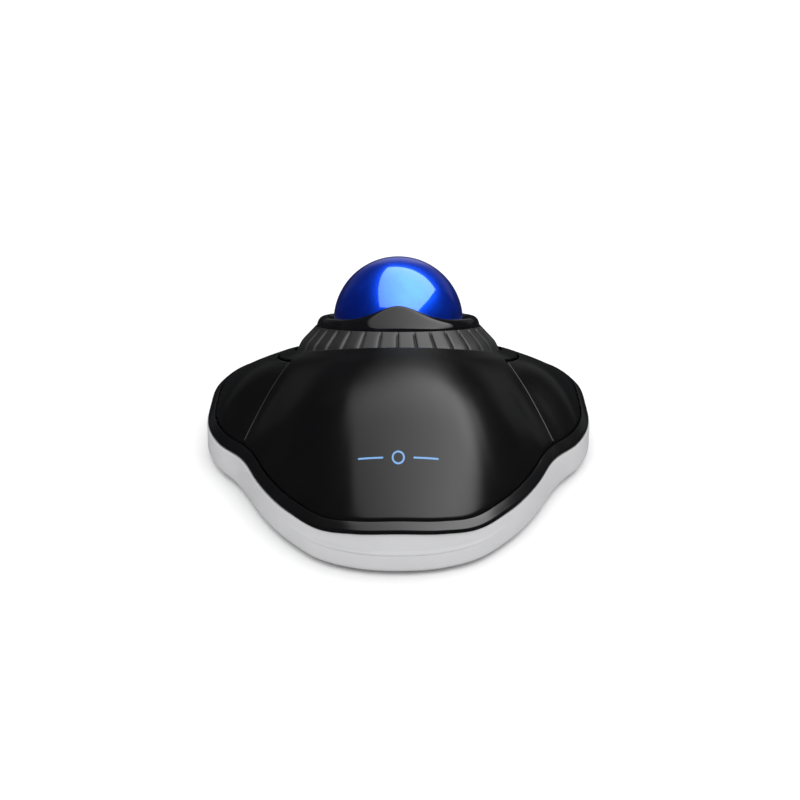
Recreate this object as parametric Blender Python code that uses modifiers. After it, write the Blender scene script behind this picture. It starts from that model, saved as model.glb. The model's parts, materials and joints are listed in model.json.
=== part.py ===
"""Desktop trackball with a scroll ring, as an assembly of its separate pieces.

Metres, +Z up. X is the width, -Y the user's side (the palm rest), and z = 0 the desk.
The ball, its cup, the collar and the scroll ring share one axis, which leans away from the user.
Angles round that axis and round the plan outline are in degrees from the user's side, toward +X.
"""

import math

import bmesh
import bpy
from mathutils import Matrix, Vector

MM = 0.001
GAP = 0.3 * MM

# Driving dimensions: the ball, the axis that it shares with the ring, and the plan outline.
BALL_RADIUS = 20 * MM
BALL_CENTRE = Vector((0, 22.4 * MM, 38 * MM))
AXIS_TILT = math.radians(20.5)
PLAN_CENTRE_Y = 20 * MM
# (angle, distance from the plan centre in mm): bell-shaped palm end, a waist, then the wide wings.
OUTLINE = (
    (0, 86.5), (8, 85.8), (16, 82.9), (24, 76.8), (36, 68.0), (46, 62.2), (55, 59.6),
    (65, 60.0), (76, 59.8), (90, 58.3), (104, 58.3), (116, 56.5), (131, 51.6), (156, 47.8), (180, 46.5),
)
# (angle, height in mm) of the joint between the base and the rim, which lifts a little at the palm end.
WALL_TOP = ((0, 13.3), (9, 12.3), (15, 11.2), (22, 11.0), (40, 11.0), (48, 11.7), (60, 10.3), (75, 9.8), (115, 9.5), (135, 9.2), (180, 9.3))

# Base shell: wall and floor.
FLOOR_BOTTOM = 1.0 * MM
FLOOR_TOP = 3.0 * MM
WALL = 2.2 * MM
STEP_HEIGHT = 7.8 * MM
STEP_DEPTH = 0.35 * MM

# Rim bead on top of the base wall.
RIM_HEIGHT = 3.35 * MM
RIM_WIDTH = 2.5 * MM

# Cover and buttons: one smooth skin between the ring opening and the rim, cut by thin gaps.
SKIN = 1.6 * MM
COVER_INSET = 2.9 * MM
OPENING_RADIUS = 31.8 * MM
OPENING_LEVEL = -8.4 * MM
OPENING_LIFT = 3.25 * MM
COLUMN_SKIRT = -10.5 * MM
RIM_SKIRT = 2.0 * MM
BEZEL_WIDTH = 4.6 * MM
BEZEL_SLOPE = ((0, 0.07), (61, 0.40), (90, 0.45), (180, 0.35))
# At the waist the skin falls in a straight line to the rim; elsewhere it is domed.
WAIST_ANGLE = 57.0
WAIST_SPREAD = 17.0
SEAM_GAP = 0.6 * MM
SEAM_ANGLES = (61.5, 55.0)
NOSE_ANGLES = (163.0, 169.5)

# Scroll ring, in (radius, height) from the ball's centre along the axis.
RING_TEETH = 32
TOOTH_DEPTH = 0.8 * MM
RING_FLANGE = 32.6 * MM
TRACK_LEVEL = -12.5 * MM

# Collar: a low lip all round, and a hump that rises toward the user.
HUMP_SPREAD = 25.0

# Chassis: a tilted channel ring on four legs.
LEG_ANGLES = (55.0, 125.0)
LEG_CIRCLE = 27 * MM
LEG_RADIUS = 3.0 * MM

# Ball cup and its three support balls.
CUP_INNER = 20.8 * MM
CUP_OUTER = 23.4 * MM
SUPPORT_RADIUS = 1.15 * MM
SUPPORT_DROP = 35.0

# Circuit board and what stands on it.
BOARD_BOTTOM = 6.4 * MM
BOARD_TOP = 8.0 * MM
PART_LEVEL = BOARD_TOP + GAP
SWITCH_SIZE = Vector((5.8, 12.8, 6.5)) * MM
SWITCH_ANGLE = 78.0
SWITCH_REACH = 0.5
PLUNGER_RISE = 1.0 * MM

# Buttons tip about an axis at their far edge.
BUTTON_AXIS = Vector((25 * MM, 58 * MM, 15 * MM))

FOOT_HEIGHT = 0.7 * MM
FOOT_PLACES = ((-21, -44), (21, -44), (-40, 34), (40, 34))
BOARD_SCREW_PLACES = ((-30, 44), (30, 44))
CABLE_HEIGHT = 6.0 * MM


# ---- Curves and surfaces that several pieces share ----


def smooth(knots, x):
    """Value at x of the smooth curve through the (position, value) knots, level at both ends."""
    last = len(knots) - 1
    i = max(k for k in range(last) if knots[k][0] <= x or k == 0)

    def slope(k):
        if k in (0, last):
            return 0.0
        return (knots[k + 1][1] - knots[k - 1][1]) / (knots[k + 1][0] - knots[k - 1][0])

    (x0, y0), (x1, y1) = knots[i], knots[i + 1]
    h = x1 - x0
    t = min(max((x - x0) / h, 0.0), 1.0)
    return (
        (2 * t**3 - 3 * t**2 + 1) * y0
        + (t**3 - 2 * t**2 + t) * h * slope(i)
        + (3 * t**2 - 2 * t**3) * y1
        + (t**3 - t**2) * h * slope(i + 1)
    )


def wrapped(angle):
    """The same direction as an angle from 0 to 180, because the object is symmetric."""
    return abs((angle + 180.0) % 360.0 - 180.0)


def outline(angle, inset, height):
    """Point at this height, inset square to the plan outline."""

    def edge(a):
        reach = smooth(OUTLINE, wrapped(a)) * MM
        turn = math.radians(a)
        return Vector((reach * math.sin(turn), PLAN_CENTRE_Y - reach * math.cos(turn), 0))

    along = (edge(angle + 0.05) - edge(angle - 0.05)).normalized()
    inward = Vector((-along.y, along.x, 0))
    return edge(angle) + inward * inset + Vector((0, 0, height))


def wall_top(angle):
    return smooth(WALL_TOP, wrapped(angle)) * MM


def turned_point(radius, angle, height):
    """Point in the leaning hub frame, whose z is the axis and whose origin is the ball's centre."""
    turn = math.radians(angle)
    return Vector((radius * math.sin(turn), -radius * math.cos(turn), height))


def hub_matrix():
    return Matrix.Translation(BALL_CENTRE) @ Matrix.Rotation(-AXIS_TILT, 4, "X")


def opening_height(angle):
    """Height along the axis of the edge round the scroll ring: lifted toward the user."""
    return OPENING_LEVEL + OPENING_LIFT * max(math.cos(math.radians(angle)), 0.0) ** 2


def cover_point(angle, reach):
    """Point of the outer skin: reach 0 at the ring opening, 1 at the rim."""
    inner, outer = cover_ends(angle)
    side = wrapped(angle)
    bezel = bezel_reach(angle)
    point = inner.lerp(outer, reach)
    bezel_foot = inner.z - BEZEL_WIDTH * smooth(BEZEL_SLOPE, side)
    if reach <= bezel:
        point.z = inner.z + (bezel_foot - inner.z) * reach / bezel
        return point
    domed = smooth(((0, 0.12), (90, 0.5), (115, 0.9), (180, 0.9)), side)
    straight = domed + (1 - domed) * math.exp(-(((side - WAIST_ANGLE) / WAIST_SPREAD) ** 2))
    power = 2.1 + 1.1 * math.sin(math.radians(min(side, 90.0))) ** 2
    share = (reach - bezel) / (1 - bezel)
    point.z = bezel_foot + (outer.z - bezel_foot) * (straight * share + (1 - straight) * share**power)
    return point


def cover_ends(angle):
    """The skin's two ends along this direction: the ring opening's edge and the rim's edge."""
    inner = hub_matrix() @ turned_point(OPENING_RADIUS, angle, opening_height(angle))
    return inner, outline(angle, COVER_INSET, wall_top(angle) + RIM_HEIGHT)


def bezel_reach(angle):
    """Reach at the outer edge of the narrow bezel round the scroll ring."""
    inner, outer = cover_ends(angle)
    return BEZEL_WIDTH / math.hypot(outer.x - inner.x, outer.y - inner.y)


# ---- Building blocks ----


def clear_scene():
    for obj in list(bpy.data.objects):
        bpy.data.objects.remove(obj, do_unlink=True)


def new_collection(name):
    group = bpy.data.collections.new(name)
    bpy.context.scene.collection.children.link(group)
    return group


def finish(name, colour, roughness, metallic=0.0, coat=0.0, transmission=0.0):
    """Principled material with the piece's colour."""
    material = bpy.data.materials.new(name)
    material.use_nodes = True
    shader = material.node_tree.nodes["Principled BSDF"]
    shader.inputs["Base Color"].default_value = (*colour, 1.0)
    shader.inputs["Roughness"].default_value = roughness
    shader.inputs["Metallic"].default_value = metallic
    shader.inputs["Coat Weight"].default_value = coat
    shader.inputs["Transmission Weight"].default_value = transmission
    material.diffuse_color = (*colour, 1.0)
    return material


class Bench:
    """Holds the collections, the hub's empty and the finishes while the pieces are added."""

    def __init__(self):
        self.parts = new_collection("trackball")
        self.cutters = new_collection("trackball_cutters")
        self.finishes = {
            "satin black plastic": finish("satin_black", (0.012, 0.012, 0.014), 0.32),
            "gloss black plastic": finish("gloss_black", (0.006, 0.006, 0.007), 0.08, coat=0.6),
            "grey rubber": finish("grey_rubber", (0.115, 0.115, 0.115), 0.62),
            "light grey plastic": finish("light_grey", (0.62, 0.62, 0.64), 0.42),
            "blue ball": finish("blue_ball", (0.016, 0.125, 0.76), 0.12, metallic=0.25, coat=1.0),
            "black nylon": finish("black_nylon", (0.03, 0.03, 0.032), 0.5),
            "ruby": finish("ruby", (0.5, 0.02, 0.05), 0.08),
            "clear plastic": finish("clear_plastic", (0.9, 0.93, 0.95), 0.05, transmission=0.9),
            "green board": finish("green_board", (0.01, 0.16, 0.06), 0.35),
            "steel": finish("steel", (0.55, 0.56, 0.57), 0.3, metallic=1.0),
            "component black": finish("component_black", (0.02, 0.02, 0.02), 0.45),
            "white plastic": finish("white_plastic", (0.8, 0.8, 0.78), 0.4),
            "foot rubber": finish("foot_rubber", (0.02, 0.02, 0.02), 0.8),
            "silver paper": finish("silver_paper", (0.6, 0.6, 0.6), 0.5),
        }
        self.hub = self.empty("hub_axis", hub_matrix())

    def empty(self, name, matrix):
        marker = bpy.data.objects.new(name, None)
        marker.empty_display_size = 10 * MM
        marker.matrix_world = matrix
        self.parts.objects.link(marker)
        return marker

    def add(self, name, mesh, finish_name, parent=None, origin=None):
        """One named piece. Its mesh is in its parent's frame, or in the world's, before the origin moves."""
        obj = bpy.data.objects.new(name, mesh)
        self.parts.objects.link(obj)
        if finish_name:
            mesh.materials.append(self.finishes[finish_name])
        if origin is not None:
            mesh.transform(Matrix.Translation(-origin))
            obj.location = origin
        if parent is not None:
            obj.parent = parent
        mesh.shade_smooth()
        mesh.set_sharp_from_angle(angle=math.radians(32))
        return obj

    def helper(self, name, mesh, parent=None):
        """A cutter or a piece to be joined: it never shows."""
        obj = bpy.data.objects.new(name, mesh)
        self.cutters.objects.link(obj)
        obj.hide_render = True
        obj.display_type = "WIRE"
        if parent is not None:
            obj.parent = parent
        return obj


def boolean(obj, operation, *others):
    """Cuts the others away, or joins them on."""
    for other in others:
        modifier = obj.modifiers.new(operation.lower(), "BOOLEAN")
        modifier.operation = operation
        modifier.solver = "EXACT"
        modifier.object = other


def mesh_of(bm, name):
    bmesh.ops.recalc_face_normals(bm, faces=bm.faces)
    mesh = bpy.data.meshes.new(name)
    bm.to_mesh(mesh)
    bm.free()
    return mesh


def box(name, centre, size):
    bm = bmesh.new()
    bmesh.ops.create_cube(bm, size=1.0, matrix=Matrix.Translation(centre) @ Matrix.Diagonal((*size, 1.0)))
    return mesh_of(bm, name)


def rod(name, start, end, radius, sides=20):
    """Cylinder between two points."""
    along = end - start
    turn = along.to_track_quat("Z", "Y").to_matrix().to_4x4()
    place = Matrix.Translation((start + end) / 2) @ turn
    bm = bmesh.new()
    bmesh.ops.create_cone(
        bm, cap_ends=True, segments=sides, radius1=radius, radius2=radius, depth=along.length, matrix=place
    )
    return mesh_of(bm, name)


def upright(name, x, y, bottom, top, radius, sides=20):
    return rod(name, Vector((x, y, bottom)), Vector((x, y, top)), radius, sides)


def plate(name, corners, bottom, thickness):
    """Flat plate from its outline."""
    bm = bmesh.new()
    face = bm.faces.new([bm.verts.new((x, y, bottom)) for x, y in corners])
    grown = bmesh.ops.extrude_face_region(bm, geom=[face])["geom"]
    lifted = [item for item in grown if isinstance(item, bmesh.types.BMVert)]
    bmesh.ops.translate(bm, verts=lifted, vec=(0, 0, thickness))
    return mesh_of(bm, name)


def turned(name, profile, sides=48):
    """Closed (radius, height) profile swept round the z axis by a Screw modifier, as a finished mesh."""
    outline_mesh = bpy.data.meshes.new(name + "_profile")
    points = [(radius, 0, height) for radius, height in profile]
    loop = [(i, (i + 1) % len(points)) for i in range(len(points))]
    outline_mesh.from_pydata(points, loop, [])
    obj = bpy.data.objects.new(name + "_profile", outline_mesh)
    bpy.context.scene.collection.objects.link(obj)
    screw = obj.modifiers.new("turn", "SCREW")
    screw.steps = sides
    screw.render_steps = sides
    screw.use_merge_vertices = True
    screw.merge_threshold = 0.00001
    bpy.context.view_layer.update()
    swept = bpy.data.meshes.new_from_object(obj.evaluated_get(bpy.context.evaluated_depsgraph_get()))
    bpy.data.objects.remove(obj, do_unlink=True)
    bm = bmesh.new()
    bm.from_mesh(swept)
    bmesh.ops.remove_doubles(bm, verts=bm.verts, dist=0.000001)
    bmesh.ops.dissolve_degenerate(bm, edges=bm.edges, dist=0.000001)
    return mesh_of(bm, name)


def swept(name, sections):
    """Closed tube through closed sections that go once round and meet."""
    bm = bmesh.new()
    rings = [[bm.verts.new(point) for point in section] for section in sections]
    for ring, after in zip(rings, rings[1:] + rings[:1]):
        for i in range(len(ring)):
            j = (i + 1) % len(ring)
            bm.faces.new((ring[i], ring[j], after[j], after[i]))
    return mesh_of(bm, name)


def skin(name, rows, keep=None):
    """Open surface through rows of points: cell (row, column) is kept where keep says so."""
    bm = bmesh.new()
    grid = [[bm.verts.new(point) for point in row] for row in rows]
    for i in range(len(grid) - 1):
        for j in range(len(grid[0]) - 1):
            if keep is None or keep(i, j):
                bm.faces.new((grid[i][j], grid[i + 1][j], grid[i + 1][j + 1], grid[i][j + 1]))
    bmesh.ops.remove_doubles(bm, verts=bm.verts, dist=0.000001)
    loose = [vert for vert in bm.verts if not vert.link_faces]
    bmesh.ops.delete(bm, geom=loose, context="VERTS")
    return mesh_of(bm, name)


def thicken(obj, thickness):
    """Grows the open skin inward into a shell."""
    solidify = obj.modifiers.new("wall", "SOLIDIFY")
    solidify.thickness = thickness
    solidify.offset = -1.0
    solidify.use_even_offset = True
    solidify.use_quality_normals = True


# ---- Housing ----


def base_shell(bench):
    """Light grey tray: floor, wall with a shallow step, posts for the board, and the cable's hole."""
    stations = [360.0 * i / 64 for i in range(64)]
    bm = bmesh.new()

    def ring(inset, height):
        return [bm.verts.new(outline(a, inset, height(a))) for a in stations]

    levels = [
        ring(1.7 * MM, lambda a: FLOOR_BOTTOM),
        ring(0.5 * MM, lambda a: FLOOR_BOTTOM + 0.5 * MM),
        ring(0.0, lambda a: FLOOR_BOTTOM + 1.7 * MM),
        ring(0.0, lambda a: STEP_HEIGHT - STEP_DEPTH),
        ring(STEP_DEPTH, lambda a: STEP_HEIGHT),
        ring(STEP_DEPTH, wall_top),
        ring(WALL, wall_top),
        ring(WALL, lambda a: FLOOR_TOP),
    ]
    for low, high in zip(levels, levels[1:]):
        for i in range(len(stations)):
            j = (i + 1) % len(stations)
            bm.faces.new((low[i], low[j], high[j], high[i]))
    bm.faces.new(levels[0])
    bm.faces.new(levels[-1])
    base = bench.add("base_shell", mesh_of(bm, "base_shell"), "light grey plastic")
    for number, (x, y) in enumerate(BOARD_SCREW_PLACES, 1):
        x, y = x * MM, y * MM
        post = upright("post", x, y, FLOOR_TOP - 0.5 * MM, BOARD_BOTTOM - GAP, 3.0 * MM)
        bore = upright("post_bore", x, y, FLOOR_TOP + 0.5 * MM, BOARD_TOP, 1.1 * MM, 12)
        boolean(base, "UNION", bench.helper(f"board_post_{number}", post))
        boolean(base, "DIFFERENCE", bench.helper(f"board_post_bore_{number}", bore))
    for number, place in enumerate(leg_places(), 1):
        hole = upright("hole", place.x, place.y, 0, FLOOR_TOP + 1 * MM, 1.7 * MM)
        sink = upright("sink", place.x, place.y, 0, FLOOR_BOTTOM + 1.1 * MM, 2.9 * MM)
        boolean(base, "DIFFERENCE", bench.helper(f"base_screw_hole_{number}", hole))
        boolean(base, "DIFFERENCE", bench.helper(f"base_screw_sink_{number}", sink))
    inlet = rod("inlet", Vector((0, 58 * MM, CABLE_HEIGHT)), Vector((0, 70 * MM, CABLE_HEIGHT)), 2.35 * MM)
    boolean(base, "DIFFERENCE", bench.helper("cable_hole", inlet))


def rim_trim(bench):
    """Satin black bead that caps the base wall."""
    profile = (
        (0.3, 0.3), (0.3, 1.5), (0.7, 2.6), (1.4, 3.2), (2.0, 3.35), (2.5, 3.0), (2.5, 0.3),
    )
    sections = []
    for i in range(64):
        angle = 360.0 * i / 64
        level = wall_top(angle)
        sections.append([outline(angle, inset * MM, level + rise * MM) for inset, rise in profile])
    bench.add("rim_trim", swept("rim_trim", sections), "satin black plastic")


PALM_COLUMNS = 20
WING_COLUMNS = 16
NOSE_COLUMNS = 4
BEZEL_ROWS = 2
SKIN_ROWS = 8


def column_angles(down):
    """Angles once round at this share of the way down from bezel to rim, starting at the right seam."""
    seam = SEAM_ANGLES[0] + (SEAM_ANGLES[1] - SEAM_ANGLES[0]) * down
    nose = NOSE_ANGLES[0] + (NOSE_ANGLES[1] - NOSE_ANGLES[0]) * down
    stops = (
        (seam, nose, WING_COLUMNS),
        (nose, 360 - nose, NOSE_COLUMNS),
        (360 - nose, 360 - seam, WING_COLUMNS),
        (360 - seam, 360 + seam, PALM_COLUMNS),
    )
    angles = [start + (end - start) * i / count for start, end, count in stops for i in range(count)]
    return [*angles, 360 + seam]


def top_cover(bench):
    """Palm rest, the bezel round the scroll ring and the nose between the buttons, in one shell."""
    at_bezel = column_angles(0.0)
    rows = [[hub_matrix() @ turned_point(OPENING_RADIUS, a, COLUMN_SKIRT) for a in at_bezel]]
    for i in range(BEZEL_ROWS):
        rows.append([cover_point(a, bezel_reach(a) * i / BEZEL_ROWS) for a in at_bezel])
    for i in range(SKIN_ROWS + 1):
        down = i / SKIN_ROWS
        rows.append([cover_point(a, bezel_reach(a) + (1 - bezel_reach(a)) * down) for a in column_angles(down)])
    rows.append([point - Vector((0, 0, RIM_SKIRT)) for point in rows[-1]])
    nose = range(WING_COLUMNS, WING_COLUMNS + NOSE_COLUMNS)
    palm = range(2 * WING_COLUMNS + NOSE_COLUMNS, 2 * WING_COLUMNS + NOSE_COLUMNS + PALM_COLUMNS)

    def keep(row, column):
        return row <= BEZEL_ROWS or column in nose or column in palm

    cover = bench.add("top_cover", skin("top_cover", rows, keep), "satin black plastic")
    thicken(cover, SKIN)


def gap_angle(angle, down):
    """Angle that the seam gap takes up at this place on the skin."""
    bezel = bezel_reach(angle)
    place = cover_point(angle, bezel + (1 - bezel) * down)
    return math.degrees(SEAM_GAP / math.hypot(place.x, place.y - PLAN_CENTRE_Y))


def button_rows(side):
    """Rows of one button's skin, a gap inside its share of the cover."""
    rows = []
    for i in range(SKIN_ROWS + 1):
        down = i / SKIN_ROWS
        seam = SEAM_ANGLES[0] + (SEAM_ANGLES[1] - SEAM_ANGLES[0]) * down
        nose = NOSE_ANGLES[0] + (NOSE_ANGLES[1] - NOSE_ANGLES[0]) * down
        first, last = seam + gap_angle(seam, down), nose - gap_angle(nose, down)
        row = []
        for j in range(WING_COLUMNS + 1):
            angle = first + (last - first) * j / WING_COLUMNS
            start = bezel_reach(angle) * (1 + SEAM_GAP / BEZEL_WIDTH)
            row.append(cover_point(side * angle, start + (1 - start) * down))
        rows.append(row)
    rows.append([point - Vector((0, 0, RIM_SKIRT)) for point in rows[-1]])
    return rows


def switch_place(side):
    """Point of the cover's skin above one switch."""
    return cover_point(side * SWITCH_ANGLE, SWITCH_REACH)


def button(bench, side, name):
    """Wing-shaped button with a post that reaches down to its switch."""
    hinge = Vector((side * BUTTON_AXIS.x, BUTTON_AXIS.y, BUTTON_AXIS.z))
    wing = bench.add(name, skin(name, button_rows(side)), "satin black plastic", origin=hinge)
    wing.data.update()
    if wing.data.polygons[0].normal.z < 0:
        wing.data.flip_normals()
    thicken(wing, SKIN)
    place = switch_place(side)
    bottom = PART_LEVEL + SWITCH_SIZE.z + PLUNGER_RISE + GAP
    post = upright("post", place.x, place.y, bottom, place.z - 1.35 * MM, 1.4 * MM, 16)
    boolean(wing, "UNION", bench.helper(f"{name}_post", post))


# ---- Ball, collar, ring and cup, on the leaning axis ----


def ball(bench):
    bm = bmesh.new()
    bmesh.ops.create_uvsphere(bm, u_segments=30, v_segments=15, radius=BALL_RADIUS)
    bench.add("ball", mesh_of(bm, "ball"), "blue ball", parent=bench.hub)


def collar(bench):
    """Gloss black ring round the ball; its lip swells into a hump toward the user."""
    low = ((24.8, -1.6), (24.75, -0.6), (24.2, 0.7), (23.2, 1.45), (22.0, 1.45), (21.3, 0.8), (21.2, -2.2), (24.3, -2.2))
    high = ((24.8, -1.6), (24.5, 0.2), (22.7, 3.4), (20.7, 6.2), (20.1, 6.3), (19.75, 5.9), (21.2, -2.2), (24.3, -2.2))
    sections = []
    for i in range(56):
        angle = 360.0 * i / 56
        swell = math.exp(-((wrapped(angle) / HUMP_SPREAD) ** 2))
        sections.append([
            turned_point((r0 + (r1 - r0) * swell) * MM, angle, (h0 + (h1 - h0) * swell) * MM)
            for (r0, h0), (r1, h1) in zip(low, high)
        ])
    bench.add("collar", swept("collar", sections), "gloss black plastic", parent=bench.hub)


def scroll_ring(bench):
    """Rubber-clad ring with ratchet-like ribs, and a flange that the bezel keeps down."""
    ribbed = ((25.9, -2.0), (27.3, -3.4), (29.2, -5.4), (30.0, -6.6), (30.7, -8.1), (31.1, -9.2))
    above = ((25.2, -1.3),)
    below = (
        (31.1, -11.4), (RING_FLANGE / MM, -11.4), (RING_FLANGE / MM, TRACK_LEVEL / MM + 0.3),
        (26.6, TRACK_LEVEL / MM + 0.3), (26.6, -4.6), (25.2, -2.8),
    )
    pitch = 360.0 / RING_TEETH
    sections = []
    for tooth in range(RING_TEETH):
        for share, depth in ((0.0, 1.0), (0.9, 0.0)):
            angle = pitch * (tooth + share)
            section = [turned_point(r * MM, angle, h * MM) for r, h in above]
            for r, h in ribbed:
                fade = min(1.0, (r - 25.1) / 2.0)
                section.append(turned_point(r * MM - TOOTH_DEPTH * depth * fade, angle, h * MM))
            section += [turned_point(r * MM, angle, h * MM) for r, h in below]
            sections.append(section)
    bench.add("scroll_ring", swept("scroll_ring", sections), "grey rubber", parent=bench.hub)


def encoder_ring(bench):
    """Castellated skirt that hangs from the scroll ring and passes through the light gate."""
    top, bottom = TRACK_LEVEL, -16.3 * MM
    profile = ((27.1 * MM, bottom), (28.3 * MM, bottom), (28.3 * MM, top), (27.1 * MM, top))
    skirt = bench.add("encoder_ring", turned("encoder_ring", profile, 48), "component black", parent=bench.hub)
    slots = 24
    bm = bmesh.new()
    for i in range(slots):
        turn = Matrix.Rotation(math.tau * i / slots, 4, "Z")
        place = turn @ Matrix.Translation((0, 27.7 * MM, -15.4 * MM)) @ Matrix.Diagonal((3.2 * MM, 3 * MM, 3 * MM, 1))
        bmesh.ops.create_cube(bm, size=1.0, matrix=place)
    boolean(skirt, "DIFFERENCE", bench.helper("encoder_slots", mesh_of(bm, "encoder_slots"), bench.hub))


def light_gate_window(bench, name):
    """Space that the light gate takes at the far side of the hub."""
    mesh = box(name, Vector((0, 27.7 * MM, -17.2 * MM)), Vector((9.0, 9.6, 7.8)) * MM)
    return bench.helper(name, mesh, bench.hub)


def leg_places():
    """Plan positions of the four chassis legs."""
    places = []
    for side in (-1, 1):
        for angle in LEG_ANGLES:
            places.append(hub_matrix() @ turned_point(LEG_CIRCLE, side * angle, -18 * MM))
    return places


def chassis(bench):
    """Tilted channel that carries the scroll ring, standing on four hollow legs."""
    profile = (
        (23.8, -18.4), (31.0, -18.4), (31.0, -14.0), (32.5, -14.0), (32.5, -12.8), (29.4, -12.8),
        (29.4, -16.9), (26.2, -16.9), (26.2, -5.2), (24.7, -3.7), (24.7, -2.5), (23.8, -2.5),
    )
    body = turned("chassis", [(r * MM, h * MM) for r, h in profile], 40)
    frame = bench.add("chassis", body, "black nylon", parent=bench.hub)
    for number, place in enumerate(leg_places(), 1):
        leg = upright("leg", place.x, place.y, FLOOR_TOP + GAP, place.z - 0.1 * MM, LEG_RADIUS, 16)
        boolean(frame, "UNION", bench.helper(f"leg_{number}", leg))
        bore = upright("bore", place.x, place.y, 0, 11 * MM, 1.5 * MM, 12)
        boolean(frame, "DIFFERENCE", bench.helper(f"leg_bore_{number}", bore))
    for number, angle in enumerate(EAR_ANGLES, 1):
        start = turned_point(EAR_CIRCLE, angle, -20 * MM)
        hole = rod("ear_bore", start, turned_point(EAR_CIRCLE, angle, -11 * MM), 0.95 * MM, 12)
        boolean(frame, "DIFFERENCE", bench.helper(f"cup_screw_bore_{number}", hole, bench.hub))
    boolean(frame, "DIFFERENCE", light_gate_window(bench, "chassis_window"))


EAR_ANGLES = (0.0, 90.0, 270.0)
EAR_CIRCLE = 25.0 * MM
SUPPORT_ANGLES = (60.0, 180.0, 300.0)


def ball_cup(bench):
    """Bowl under the ball with a sensor window, three bearing pockets and three screw ears."""
    steps = 7
    lowest = math.radians(90)
    rim_inner = math.asin(2.6 * MM / CUP_INNER)
    rim_outer = math.asin(2.6 * MM / CUP_OUTER)
    profile = []
    for i in range(steps + 1):
        turn = rim_inner + (lowest - rim_inner) * i / steps
        profile.append((max(CUP_INNER * math.cos(turn), 0), -CUP_INNER * math.sin(turn)))
    for i in range(steps + 1):
        turn = lowest + (rim_outer - lowest) * i / steps
        profile.append((max(CUP_OUTER * math.cos(turn), 0), -CUP_OUTER * math.sin(turn)))
    cup = bench.add("ball_cup", turned("ball_cup", profile, 32), "black nylon", parent=bench.hub)
    for number, angle in enumerate(EAR_ANGLES, 1):
        turn = Matrix.Rotation(math.radians(angle), 4, "Z")
        ear = box("ear", Vector((0, -19.5 * MM, -19.5 * MM)), Vector((6.5, 14.6, 1.6)) * MM)
        ear.transform(turn)
        boolean(cup, "UNION", bench.helper(f"cup_ear_{number}", ear, bench.hub))
        start = turned_point(EAR_CIRCLE, angle, -22 * MM)
        hole = rod("ear_hole", start, turned_point(EAR_CIRCLE, angle, -18 * MM), 1.0 * MM, 12)
        boolean(cup, "DIFFERENCE", bench.helper(f"cup_ear_hole_{number}", hole, bench.hub))
    for number, place in enumerate(support_places(), 1):
        outward = place.normalized()
        pocket = rod("pocket", outward * 19 * MM, outward * 22.95 * MM, SUPPORT_RADIUS + GAP, 16)
        boolean(cup, "DIFFERENCE", bench.helper(f"pocket_{number}", pocket, bench.hub))
    below = BALL_CENTRE - Vector((0, 0, 30 * MM))
    window = rod("window", below, BALL_CENTRE - Vector((0, 0, 12 * MM)), 3.4 * MM)
    boolean(cup, "DIFFERENCE", bench.helper("sensor_window", window))


def support_places():
    """Centres of the support balls in the hub frame."""
    reach = BALL_RADIUS + SUPPORT_RADIUS + GAP
    drop = math.radians(SUPPORT_DROP)
    return [turned_point(reach * math.cos(drop), a, -reach * math.sin(drop)) for a in SUPPORT_ANGLES]


def support_balls(bench):
    for number, place in enumerate(support_places(), 1):
        bm = bmesh.new()
        bmesh.ops.create_uvsphere(bm, u_segments=12, v_segments=8, radius=SUPPORT_RADIUS)
        bench.add(f"support_ball_{number}", mesh_of(bm, "support_ball"), "ruby", parent=bench.hub).location = place


# ---- Electronics ----


def main_board(bench):
    """Green board with a wing out to each switch and clearance round the chassis legs."""
    right = ((30, -10), (30, 2), (49, 2), (49, 26), (37, 26), (37, 50))
    corners = [(x * MM, y * MM) for x, y in right]
    corners += [(-x, y) for x, y in reversed(corners)]
    board = bench.add("main_board", plate("main_board", corners, BOARD_BOTTOM, BOARD_TOP - BOARD_BOTTOM), "green board")
    for number, place in enumerate(leg_places(), 1):
        hole = upright("hole", place.x, place.y, 0, BOARD_TOP + 2 * MM, LEG_RADIUS + 0.6 * MM)
        boolean(board, "DIFFERENCE", bench.helper(f"board_hole_{number}", hole))
    for number, (x, y) in enumerate(BOARD_SCREW_PLACES, 1):
        hole = upright("hole", x * MM, y * MM, 0, BOARD_TOP + 2 * MM, 1.5 * MM, 16)
        boolean(board, "DIFFERENCE", bench.helper(f"board_screw_hole_{number}", hole))


def on_board(x, y, size):
    """Centre of a box that stands on the board."""
    return Vector((x * MM, y * MM, PART_LEVEL + size.z / 2))


def optical_sensor(bench):
    """Chip under the ball, its lens, and the lamp beside them that lights the ball."""
    chip_size = Vector((10.0, 7.0, 2.2)) * MM
    x, y = 0.0, BALL_CENTRE.y / MM
    bench.add("sensor_chip", box("sensor_chip", on_board(x, y, chip_size), chip_size), "component black")
    bottom = PART_LEVEL + chip_size.z + GAP
    lens = turned("sensor_lens", ((0, bottom), (4.6 * MM, bottom), (4.6 * MM, bottom + 1 * MM),
                                  (2.6 * MM, bottom + 1.6 * MM), (0, bottom + 2.4 * MM)), 24)
    lens.transform(Matrix.Translation((0, BALL_CENTRE.y, 0)))
    bench.add("sensor_lens", lens, "clear plastic")
    lamp = turned("sensor_led", ((0, 0), (1.6 * MM, 0), (1.6 * MM, 3 * MM), (1.1 * MM, 4.1 * MM), (0, 4.5 * MM)), 16)
    lamp.transform(Matrix.Translation((0, BALL_CENTRE.y - 8.5 * MM, PART_LEVEL)))
    bench.add("sensor_led", lamp, "clear plastic")


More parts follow.
